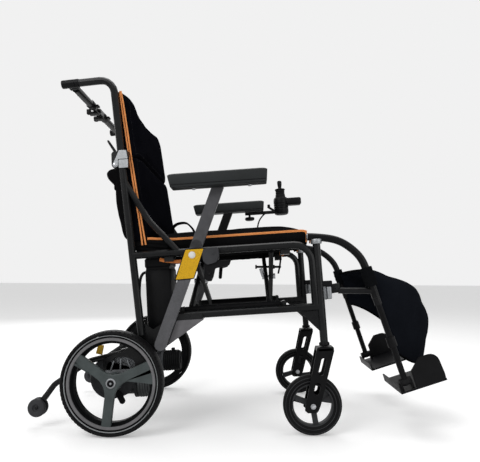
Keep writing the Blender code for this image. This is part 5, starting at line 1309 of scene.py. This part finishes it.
def pocket():
    """The pocket bag behind the back: a gathered flap over a sagging body."""
    profile = mm(
        (353.5, 1), (360, 14), (363.2, 24), (374.1, 34.5), (400, 39), (425, 42.4), (476.1, 46), (508, 44),
        (519, 45.5), (530, 54.5), (539.8, 62.2), (550, 65), (558, 62.5), (564, 54), (567.5, 35), (569, 1),
    )
    route = smooth_route([Vector((back_u(w) - 0.003 - depth, 0, w)) for w, depth in profile], 61)

    def shape(a, b, c):
        place = route[round((b + 1) / 2 * 60)]
        rear_line = back_u(place.z) - 0.0035
        thin = 1 - 0.12 * abs(a) ** 12
        sag = 0.0035 * math.cos(a * 9.0 + place.z * 40) * (1 - a * a)
        u = rear_line - (rear_line - place.x) * thin + sag * min(1.0, (rear_line - place.x) / 0.03)
        return framed(rear_line if c == -1 else u, a * 0.165, place.z)

    made = crumpled(soft_form((44, 60, 1), shape)[0], (0.022, 0.0022), (0.008, 0.0005))
    finish_piece(made, "back_bag", "right_side", BLACK_FABRIC, "back_pocket")
    fold_with(made)
    hem = []
    for i in range(33):
        a = -0.97 + 1.94 * i / 32
        hem.append(framed(back_u(0.512) - 0.003 - 0.047 * (1 - 0.12 * abs(a) ** 12), a * 0.1645, 0.513))
    edge = strap(hem, FRAME_TURN @ Vector((0, 0, 1)), 0.01, 0.0016)
    fold_with(finish_piece(edge, "back_bag_binding", "right_side", WEBBING))


LEG_SLEEVE_SPAN = (0.07, 0.12)
SLING_PROFILE = mm(
    (83, 30), (100, 48), (138, 77), (160, 104), (185, 131), (222, 154), (262, 162), (300, 155), (340, 138),
    (375, 121),
)


def sling_low(down):
    """How far down the sling a place is, from 0 at its top to 1 at its foot."""
    top, foot = SLING_PROFILE[0][0], SLING_PROFILE[-1][0]
    return (down - top) / (foot - top)


def sling_bulge(down, a):
    """How much of its reach the sling has at a, from one hanger at -1 to the other at 1."""
    return (1 - abs(a) ** (3.5 - 2.2 * sling_low(down) ** 2)) ** 0.85


def sling_down(down, a):
    """A place down the sling at a: its sides are shorter, and its right half hangs slacker."""
    top = SLING_PROFILE[0][0]
    low = sling_low(down)
    leaning = min(1.0, max(0.0, 0.5 - 2 * a))
    leaning *= leaning * (3 - 2 * leaning)
    slack = 0.2 + (low * low - 0.2) * leaning
    taut = math.sin(math.pi / 2 * abs(a)) ** 1.3
    shortening = 0.63 - 0.36 * low * low * leaning
    return top + (down - top) * (1 - shortening * (taut + (abs(a) ** 3.2 - taut) * slack))


def calf_sling():
    """The calf sling between the hangers, hanging forward of them in slack folds."""
    rows = smooth_route([Vector((down, forward, 0)) for down, forward in SLING_PROFILE], 65)
    half_width = HANGER_Y - TUBE_RADIUS - 0.0028
    squeeze = {"keep": SLING_KEEP, "anchor": (0, -HANGER_Y, 0)}

    def shape(a, b, c):
        place = rows[round((b + 1) / 2 * 64)]
        fold = 0.0035 * math.sin(a * 7.5 + place.x * 55) * (1 - a * a) * (1 - b**4)
        ends = min(1.0, 12 * (1 - abs(a)))
        forward = place.y * sling_bulge(place.x, a) + (fold + 0.0024 * c) * ends + 0.0012 * c * (1 - ends)
        return legged(forward, a * half_width, sling_down(place.x, a))

    made = crumpled(soft_form((72, 64, 1), shape)[0], (0.03, 0.0016), (0.01, 0.0004))
    finish_piece(made, "calf_sling_pad", "right_legrest", SLING_FABRIC, "calf_sling")
    fold_with(made, **squeeze)
    for label, place in (("top", rows[0]), ("bottom", rows[-1])):
        path = []
        for i in range(49):
            a = -0.985 + 1.97 * i / 48
            path.append(legged(place.y * sling_bulge(place.x, a), a * half_width, sling_down(place.x, a)))
        hem = finish_piece(tube(path, 0.003, 12), f"calf_sling_{label}_hem", "right_legrest", WEBBING)
        fold_with(hem, **squeeze)


# Armrests and controller

PAD_REAR_U = 0.163
PAD_LENGTH = 0.258
PAD_WIDTH = 0.047
PAD_HEIGHT = 0.038
PAD_ROUNDING = 0.0042
CONTROLLER_U = 0.4825
BRACE_LEVER_Y = -0.012


def armrest_pad(side, name):
    """The vinyl armrest pad on its base, with a seam along its side and two screws under it."""
    middle_u = PAD_REAR_U + PAD_LENGTH / 2

    def shape(a, b, c):
        share = (c + 1) / 2
        drop = (max(0.0, -a - 0.93) / 0.07) ** 2 + (max(0.0, a - 0.94) / 0.06) ** 2
        top = PAD_HEIGHT - 0.004 - 0.002 * drop
        rake = 0.003 + 0.0065 * (1 - share) if a < 0 else -0.0032 * (1 - share)
        u = middle_u + a * PAD_LENGTH / 2 + rake * abs(a) ** 12
        y = b * (PAD_WIDTH / 2 - 0.0008)
        if c == 1:
            top += 0.0048 * (1 - abs(b) ** 3) * (1 - abs(a) ** 24)
        w = PAD_W + 0.0008 + 0.001 * drop * (1 - share) + (top - 0.0008) * share
        if abs(b) == 1:
            y += math.copysign(0.001, b) * math.sin(math.pi * share)
        return framed(u, side * PAD_Y + y, w)

    made, _ = soft_form((64, 14, 8), shape)
    bevel = made.modifiers.new("round_edges", "BEVEL")
    bevel.width = PAD_ROUNDING
    bevel.segments = 4
    bevel.limit_method = "ANGLE"
    bevel.angle_limit = math.radians(50)
    made = crease(plain(made), 60)
    body = name + "_armrest"
    finish_piece(made, name + "_arm_pad", body, VINYL, name + "_armrest_pad")
    outline = []
    for u, y in pad_outline(side):
        rake = 0.0084 if u < PAD_REAR_U + 0.006 else 0.0
        rake = -0.0032 if u > PAD_REAR_U + PAD_LENGTH - 0.006 else rake
        outline.append(framed(u + rake, y, PAD_W + 0.0075))
    bead = tube(outline, 0.0009, 8, caps=False, cyclic=True)
    finish_piece(bead, name + "_arm_pad_seam", body, BLACK_PLASTIC)
    head = mm((0, 0), (3, 0), (4.6, 1), (5.2, 2.4), (5.2, 3.2), (0, 3.2))
    for number, u in enumerate((0.23, 0.374), 1):
        screw = spin(head, upright(u, side * PAD_Y, PAD_W - 0.0052), 28)
        finish_piece(screw, f"{name}_pad_screw_{number}", body, STEEL)


def pad_outline(side):
    """The pad's outline in u and y, with round corners, just at its surface."""
    half = PAD_WIDTH / 2 + 0.0002
    rear, front = PAD_REAR_U + 0.0002, PAD_REAR_U + PAD_LENGTH - 0.0008
    path = []
    for u, y, start in ((front, half, 0), (rear, half, 90), (rear, -half, 180), (front, -half, 270)):
        inwards = math.copysign(PAD_ROUNDING, u - (rear + front) / 2)
        centre = (u - inwards, y - math.copysign(PAD_ROUNDING, y))
        path += arc(centre, PAD_ROUNDING, start, start + 90, 6)
    return [(u, side * PAD_Y + y) for u, y in path]


def reflector_plate(side, name):
    """The yellow reflector round the foot of the armrest post, with its white bolt."""
    face = side * (ARM_Y + 0.0078)
    body = name + "_side"
    corners = mm((199.5, 318), (245.1, 318), (216, 245.3), (170.5, 244))
    made = plate(corners, face + side * 0.0012, 0.0012, 0.002, 0.0003)
    finish_piece(made, name + "_yellow_reflector", body, YELLOW)
    middle_u, middle_w = 0.2078, 0.2813
    wider = [(middle_u + (u - middle_u) * 1.11, middle_w + (w - middle_w) * 1.07) for u, w in corners]
    made = plate(wider, face, 0.0014, 0.0025, 0.0004)
    finish_piece(made, name + "_reflector_holder", body, BLACK_PLASTIC)
    bolt = framed(0.2151, side * (ARM_Y + 0.0092), 0.3039)
    head = mm((0, 4.4), (5, 4.2), (7.6, 3), (8.9, 1.2), (9.1, 0), (0, 0))
    finish_piece(spin(head, outward(side, bolt), 40), name + "_white_bolt_cap", body, WHITE_CAP)


def latch_cover(side, name):
    """The moulded cover over the armrest latch with its screw, and on the right its release lever."""
    face = side * (SIDE_Y + TUBE_RADIUS + 0.0004 + 0.018)
    body = name + "_side"
    corners = mm((240.5, 318.5), (283.2, 319.5), (284.2, 296), (276, 281.5), (252, 276), (242, 287))
    finish_piece(plate(corners, face, 0.003, 0.005, 0.0009), name + "_latch_cover", body, GREY_PLASTIC)
    head = mm((0, 1.2), (2, 1.6), (3.4, 1.2), (3.8, 0), (0, 0))
    screw = spin(head, outward(side, framed(0.27, face + side * 0.0014, 0.305)), 24)
    finish_piece(screw, name + "_latch_screw", body, GREY_PLASTIC)
    if side > 0:
        return
    y = side * (SIDE_Y + 0.019)
    outline = mm(
        (244, 286.5), (244, 242), (250, 235), (260, 234), (266, 245), (272, 266), (308, 272), (314, 286),
    )
    lever = plate(outline, y, 0.01, 0.002, 0.0016, 3)
    pin = mm((4.2, -2), (6, 0), (6, 2.2), (4.4, 3.4), (3, 2.6), (0, 2.6), (0, -2))
    boss = spin(pin, outward(side, framed(0.2545, y + side * 0.005, 0.256)), 28)
    finish_piece(joined([lever, boss]), name + "_latch_release", body, BLACK_PLASTIC)


def arm_post(side, name):
    """The flat post that lifts with the armrest pad, cut square to the pad's underside."""

    def at_pivot(y):
        return Vector((ARM_PIVOT.x, side * y, ARM_PIVOT.z))

    outline = mm((-15, 18), (15, 18), (15, 193.9), (-15, 181.1))
    cheek = arc((0, 0.0), 0.0147, 180, 360, 16) + arc((0, 0.0288), 0.0147, 0, 180, 16)
    parts = [
        flat([round_polygon(outline, 0.0008, 2)], 0.014, plane(at_pivot(ARM_Y), ARM_TURN), 0.0011),
        flat([cheek], 0.006, plane(at_pivot(ARM_Y + 0.004), ARM_TURN), 0.0006),
        rod(at_pivot(ARM_Y - 0.0065), at_pivot(ARM_Y + 0.0072), 0.005, 24),
    ]
    look = BLACK_PAINT if side > 0 else GREY_PAINT
    finish_piece(joined(parts), name + "_arm_post", name + "_armrest", look, name + "_armrest_post")


def corner_plate(side, name):
    """The grey triangular plate between the lower rail and the foot of the armrest bar."""
    corners = mm((165.2, 140.2), (232.5, 140.2), (232.5, 137.8), (138.8, 78.8))
    made = plate(corners, side * (ARM_Y - 0.0066), 0.0012, 0.001, 0.0003, 3)
    finish_piece(made, name + "_corner_plate", name + "_side", PLATE_PAINT)


def gear_cover(side, name):
    """The bare casting over the gearbox's foot, with its ribs, and the dome and tag behind it."""
    y = side * 0.2225
    body = name + "_side"
    outline = mm((-30, 18), (-24, 42), (-2, 56), (30, 56), (50, 44), (52, 18), (30, 8), (0, 12))
    parts = [plate(outline, y, 0.005, 0.005, 0.0018)]
    dome = mm((0, 0), (30, 0), (44, -2), (52, -6), (54.5, -12), (54.5, -32), (0, -32))
    made = spin(dome, outward(side, framed(-0.02, side * 0.219, 0.002)), 64)
    finish_piece(made, name + "_gear_dome", body, GEARBOX_PAINT)
    tag = mm((-57, 66), (-50, 88), (-34, 86), (-40, 61))
    finish_piece(plate(tag, side * 0.209, 0.003, 0.0015, 0.0008, 3), name + "_amber_tag", body, AMBER)
    for u, w, turn in ((-0.01, 0.034, 20), (0.012, 0.038, 5), (0.034, 0.034, -20)):
        tilt = FRAME_TURN @ Matrix.Rotation(math.radians(turn), 4, "Y")
        parts.append(block((0.0044, 0.004, 0.026), framed(u, y + side * 0.003, w), tilt, 0.0012, 3))
    finish_piece(joined(parts), name + "_gear_casting", body, ALUMINIUM)


def brace_lever():
    """The small lever, link and bolt at the crossing of the two braces."""

    def bar(start, end, radius, sides, bevel):
        first, last = (framed(u, BRACE_LEVER_Y, w) for u, w in (start, end))
        return rod(first, last, radius, sides, bevel)

    points = mm((452, 318), (453.5, 298), (449, 270), (442, 244))
    route = [framed(u, BRACE_LEVER_Y, w) for u, w in points]
    parts = [
        strap(smooth_route(route, 20), Vector((0, 1, 0)), 0.01, 0.005),
        bar((0.376, 0.2688), (0.452, 0.264), 0.0034, 20, 0.0008),
        bar((0.374, 0.2689), (0.379, 0.2686), 0.0068, 6, 0.0006),
        bar((0.427, 0.2656), (0.433, 0.2652), 0.0068, 6, 0.0006),
    ]
    finish_piece(joined(parts), "brace_lock_lever", "cross_a", BLACK_PLASTIC)
    link = bar((0.3903, 0.263), (0.3966, 0.2378), 0.0052, 24, 0.001)
    finish_piece(link, "brace_lock_link", "cross_a", STEEL)


def controller_case():
    """The controller: a ribbed round body, its nose, its arm under the pad and the clamp knob."""
    y = 0.268
    profile = mm((0, 457.5), (19, 457.5), (23.6, 460), (25.6, 466), (26.2, 476))
    for low in (0.48, 0.488, 0.496):
        profile += [(0.026, low - 0.0012), (0.025, low), (0.025, low + 0.0012), (0.0262, low + 0.0024)]
    profile += mm((26.2, 508), (25.8, 513), (24.6, 516.5), (22.2, 520), (11, 524), (10.8, 518), (0, 518))
    knob = mm((0, 443), (12, 443), (16, 445), (17.2, 448), (17.2, 453), (15, 455), (0, 455.6))
    small = mm((0, 486), (4, 486), (5.2, 488), (5.2, 496), (4, 498), (0, 498.4))
    parts = [
        spin(profile, upright(CONTROLLER_U, y), 64),
        block((0.056, 0.04, 0.0262), framed(0.527, y, 0.5029), FRAME_TURN, 0.006, 4),
        block((0.116, 0.014, 0.011), framed(0.408, PAD_Y, 0.4688), FRAME_TURN, 0.0024, 3),
        rod(framed(0.434, y, 0.49), framed(0.464, y, 0.469), 0.0042, 20, 0.001),
        rod(framed(0.366, PAD_Y, 0.45), framed(0.366, PAD_Y, 0.468), 0.004, 20),
        spin(knob, upright(0.366, PAD_Y), 12),
        spin(small, upright(0.438, y), 24),
    ]
    finish_piece(joined(parts), "controller_case", "left_armrest", BLACK_PLASTIC, "controller_body")
    stick = upright(CONTROLLER_U, y, 0.526)
    boot = mm(
        (8, 1), (12.8, 10.5), (14.6, 25), (16, 26.2), (18, 24.8), (18.4, 22.2), (16.2, 20), (16.6, 16),
        (15.4, 14), (16.8, 10), (15.6, 8), (17.4, 4), (18, -4), (8, -4),
    )
    made = spin(boot, stick, 48, closed=True)
    finish_piece(made, "stick_boot", "left_armrest", RUBBER, "joystick_boot")
    grip = mm(
        (0, 56), (5.2, 56), (7.4, 54.6), (8.3, 50.5), (7.9, 41), (6.6, 33), (6.2, 27.5), (4.2, 26.2),
        (4.2, 2), (0, 2),
    )
    finish_piece(spin(grip, stick, 40), "stick_grip", "stick", BLACK_PLASTIC, "joystick_knob")


def hinge_covers(side, name):
    """The bare cast halves of the back hinge, with their pin heads."""
    pivot_u = back_u(HINGE_W) - 0.0165
    pivot_w = HINGE_W - 0.014
    head = mm((12.5, 25), (31.5, 23.8), (34.9, 0.6), (9, 0.6), (8.8, -14))
    foot = mm((10.2, -0.6), (35.5, -0.6), (35, -23.5), (10.2, -23.5))
    head = [(pivot_u + u, HINGE_W + w) for u, w in head]
    head += arc((pivot_u + 0.0012, pivot_w), 0.0072, 0, -180, 12)[1:]
    foot = [(pivot_u + u, HINGE_W + w) for u, w in foot]
    pin = mm((0, 3), (3.4, 2.8), (5, 1.8), (5.6, 0), (0, 0))
    for away in (-1, 1):
        y = side * SIDE_Y + away * 0.0104
        label = facing(away, side)
        made = plate(head, y, 0.0012, 0.0008, 0.0004, 2)
        finish_piece(made, f"{name}_hinge_head_{label}", name + "_cane", SILVER)
        made = plate(foot, y, 0.0012, 0.002, 0.0004, 3)
        finish_piece(made, f"{name}_hinge_foot_{label}", name + "_side", SILVER)
        made = spin(pin, outward(away, framed(pivot_u, y + away * 0.0005, pivot_w)), 28)
        finish_piece(made, f"{name}_hinge_pin_{label}", name + "_cane", STEEL)


def hinge_lever(side, name):
    """The thin lever that frees the back's hinge, tapered towards its rear end."""
    outline = mm(
        (29, 579), (29.8, 586), (26.2, 593.5), (6, 626.2), (3, 628.2), (0.6, 626.2), (1.2, 622.6),
        (18, 592), (20.5, 580),
    )
    made = plate(outline, side * SIDE_Y, 0.006, 0.0012, 0.0014, 3)
    finish_piece(made, name + "_back_lever", name + "_lever", BLACK_PLASTIC, name + "_hinge_lever")


def on_handle(from_end, y):
    """A point on the push handle, counted forwards from its rear end."""
    end_u = back_u(HANDLE_W) - HANDLE_LENGTH * math.cos(HANDLE_DIP)
    end_w = HANDLE_W - HANDLE_LENGTH * math.sin(HANDLE_DIP)
    return framed(end_u + from_end * math.cos(HANDLE_DIP), y, end_w + from_end * math.sin(HANDLE_DIP))


def handle_end(side, name):
    """The moulded end of the push handle, with a ring groove and the stretcher bar's lugs."""
    placing = aimed(on_handle(0.0, side * HANDLE_Y), on_handle(0.1, side * HANDLE_Y))
    profile = mm(
        (0, -2), (8.6, -2), (10.6, -1.2), (11.4, 0.8), (11.4, 33.5), (10.7, 34), (10.7, 35.2), (11.4, 35.7),
        (11.4, 44.6), (10.4, 46), (10, 46),
    )
    parts = [spin(profile, placing, 40)]
    turn = Matrix.Rotation(-FRAME_PITCH - HANDLE_DIP, 4, "Y")
    for from_end in (0.0137, 0.0343):
        parts.append(block((0.004, 0.0187, 0.0153), on_handle(from_end, side * 0.2044), turn, 0.0012, 3))
    finish_piece(joined(parts), name + "_grip_end", name + "_cane", BLACK_PLASTIC, name + "_handle_end")


def bar_latch(side, name):
    """The moulded sleeve and tabs of the stretcher bar's folding latch, on its own half."""
    centre = on_handle(0.024, 0.0)
    profile = mm((11.7, 46), (12.8, 47), (13.3, 49), (13.3, 72), (12.8, 73.5), (11.7, 74))
    parts = [spin(profile, aimed(centre, centre + Vector((0, side, 0))), 40, closed=True)]
    for size, (forward, out, up) in (
        ((0.03, 0.026, 0.007), (-0.004, 0.026, -0.0155)),
        ((0.012, 0.012, 0.016), (-0.017, 0.034, -0.012)),
        ((0.01, 0.02, 0.006), (0.018, 0.056, -0.004)),
    ):
        place = centre + FRAME_TURN @ Vector((forward, side * out, up))
        parts.append(block(size, place, FRAME_TURN, 0.0022, 3))
    finish_piece(joined(parts), name + "_bar_latch", name + "_bar", BLACK_PLASTIC)


def hanger(side, name):
    """The bent hanger tube of the legrest, its clamp arm and the strut under it."""
    y = side * HANGER_Y
    body = name + "_legrest"
    route = [framed(u, y, w) for u, w in HANGER_ROUTE]
    route += [legged(0, y, down) for down in (0.0446, 0.075, 0.112, 0.15)]
    start = framed(0.5505, side * SIDE_Y, CLAMP_W)
    bend = Vector((POST.x + 0.06, y, start.z + 0.006))
    turn = (bend - start).to_track_quat("X", "Z").to_matrix().to_4x4()
    strut = legged(0, y, 0.133)
    parts = [
        tube(relaxed(smooth_route(route, 72), 60), TUBE_RADIUS, 24),
        block(((bend - start).length, 0.012, 0.024), (start + bend) / 2, turn, 0.003, 4),
        tube([Vector((bend.x - 0.004, y, strut.z)), strut], 0.0075, 20),
        rod(framed(POST_U, side * SIDE_Y, 0.3), framed(POST_U, side * SIDE_Y, 0.32), 0.0045),
    ]
    finish_piece(joined(parts), name + "_hanger_tube", body, BLACK_PAINT, name + "_hanger")
    step = (route[0] - route[1]).normalized()
    plug = rod(route[0] - step * 0.004, route[0] + step * 0.003, 0.0084, 28, 0.001)
    finish_piece(plug, name + "_hanger_plug", body, SILVER)
    bolt = mm((0, 6.6), (3, 6.6), (4, 5.6), (4.2, 3), (6.4, 2.6), (6.8, 0), (0, 0))
    spot = Vector((bend.x - 0.01, y + side * 0.0058, bend.z - 0.002))
    finish_piece(spin(bolt, outward(side, spot), 32), name + "_clamp_arm_bolt", body, FRAME_PAINT)


def motor(side, name):
    """The ribbed motor ahead of its gearbox, with its cable gland."""
    length, ribs = 0.054, 7
    profile = mm((0, 0), (29, 0), (31.8, 2))
    for i in range(ribs):
        low = 0.004 + (length - 0.008) * i / ribs
        profile += [(0.0318, low), (0.034, low + 0.0008), (0.034, low + 0.0034), (0.0318, low + 0.0042)]
    end = mm((31.8, -2), (30, 0), (12, 0), (11, 2), (0, 2))
    profile += [(radius, length + height) for radius, height in end]
    y = side * MOTOR_Y
    placing = upright(0.0478, y, MOTOR_W) @ Matrix.Rotation(math.radians(90), 4, "Y")
    gland = rod(framed(GLAND_U, y, 0.008), framed(GLAND_U, y, 0.019), 0.0065, 24, 0.0012)
    made = joined([spin(profile, placing, 64), gland])
    # The far (left) motor gets the darker copy of the motor paint as painted shade.
    look = MOTOR_PAINT if side < 0 else MOTOR_PAINTED_SHADE
    finish_piece(made, name + "_motor_case", name + "_side", look, name + "_motor")


def post_cap(side, name):
    """The bare turned cap on top of the front post."""
    profile = mm((0, 13), (11, 12.8), (13.4, 11.8), (14.2, 9.6), (14.2, 1), (13.8, 0), (0, 0))
    made = spin(profile, upright(POST_U, side * SIDE_Y, 0.3132), 48)
    finish_piece(made, name + "_post_cap", name + "_legrest", SILVER)


def saddle_clamp(side, name):
    """The bare two-part clamp of the legrest on the front post, under its black lock."""
    body = name + "_legrest"
    placing = upright(POST_U, side * SIDE_Y, SADDLE_W)
    for label, start, end in (("near", -46, -4), ("far", 4, 46)):
        outline = arc((0, 0), 0.0168, start, end, 10) + arc((0, 0), 0.011, end, start, 10)
        finish_piece(flat([outline], 0.033, placing, 0.0008), f"{name}_clamp_{label}", body, SILVER)
    boss = framed(0.5585, side * (SIDE_Y - 0.001), SADDLE_W)
    made = block((0.012, 0.018, 0.032), boss, FRAME_TURN, 0.003, 4)
    finish_piece(made, name + "_clamp_block_cover", body, SILVER)
    made = block((0.027, 0.0185, 0.014), framed(0.5545, side * 0.226, 0.2095), FRAME_TURN, 0.0025, 4)
    finish_piece(made, name + "_clamp_lock", body, BLACK_PLASTIC)


def leg_sleeve(side, name):
    """The dark fabric sleeve that holds the sling's edge to the hanger."""
    steps = 16
    shares = [i / steps for i in range(steps + 1)]
    radii = [0.015 + 0.0014 * math.sin(t * math.pi) + 0.0005 * math.sin(t * 23.0) for t in shares]
    placing = aimed(legged(0, side * HANGER_Y, 0), legged(0, side * HANGER_Y, 1))
    made = sleeve(placing, 0.0107, *LEG_SLEEVE_SPAN, radii, 32)
    finish_piece(made, name + "_leg_sleeve", name + "_legrest", SLEEVE_FABRIC)


def leg_adjuster(side, name):
    """The adjuster's clamp where the leg tube slides in the hanger."""
    placing = Matrix.Translation(legged(0, side * HANGER_Y, 0.268)) @ LEG_TURN
    profile = mm((8.6, -13), (11.2, -13), (11.8, -10), (11.8, 10), (11.2, 13), (8.6, 13))
    made = spin(profile, placing, 32, closed=True)
    finish_piece(made, name + "_leg_clamp", name + "_legrest", BLACK_PLASTIC)


# Each route's points are u, y and w
CONTROLLER_CABLE = mm(
    (458.6, 251, 469), (452.8, 251, 469.2), (444.6, 251, 469.7), (435, 251, 469.2), (425.5, 250.5, 465.5),
    (416.5, 249, 459), (408.7, 247, 451), (402.2, 245, 442.5), (397.2, 243, 432.5), (393.7, 240.5, 421.5),
    (390.5, 238, 409), (386, 235.5, 394), (379, 233, 379), (369, 230.8, 365), (358.5, 229.2, 354.5),
    (350, 228.3, 347), (345.6, 228, 340.5), (345, 228, 334.4),
)
MOTOR_CABLE = mm(
    (78, -183, 19.4), (78, -183, 26), (75, -182, 38), (67, -180, 53), (58, -176, 72), (53, -170, 98),
    (51, -164, 130), (50.5, -158, 165), (51, -154, 200), (52, -151.5, 230), (55, -150, 252),
    (61, -150, 265), (68, -150, 269.5), (75.6, -150, 270),
)


def cables():
    """The controller's and the right motor's cables."""
    for name, body, node, radius, route in (
        ("controller_lead", "left_side", "controller_cable", 0.0026, CONTROLLER_CABLE),
        ("motor_lead", "right_side", "motor_cable", 0.004, MOTOR_CABLE),
    ):
        path = smooth_route([framed(*point) for point in route], 57)
        made = finish_piece(tube(path, radius, 14), name, body, RUBBER, node)
        length = sum((b - a).length for a, b in zip(path, path[1:]))
        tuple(path[0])
        [tuple(p) for p in path]


# The chair

add_camera()
cables()
add_light()
add_floor()
dress_nodes()
PARTS_OF_EACH_SIDE = (
    rear_tyre, rear_rim, castor_wheel, castor_fork, castor_fittings, anti_tip_wheel, motor, hinge_lever,
    handle_end, bar_latch, hanger, rear_skirt, tube_sleeves, armrest_pad, reflector_plate, latch_cover,
    arm_post, corner_plate, gear_cover, hinge_covers, post_cap, saddle_clamp, leg_sleeve, leg_adjuster,
)
for side, name in SIDES:
    for make in PARTS_OF_EACH_SIDE:
        make(side, name)
seat_trim(seat())
front_flap()
straps()
back()
pocket()
calf_sling()
brace_lever()
controller_case()
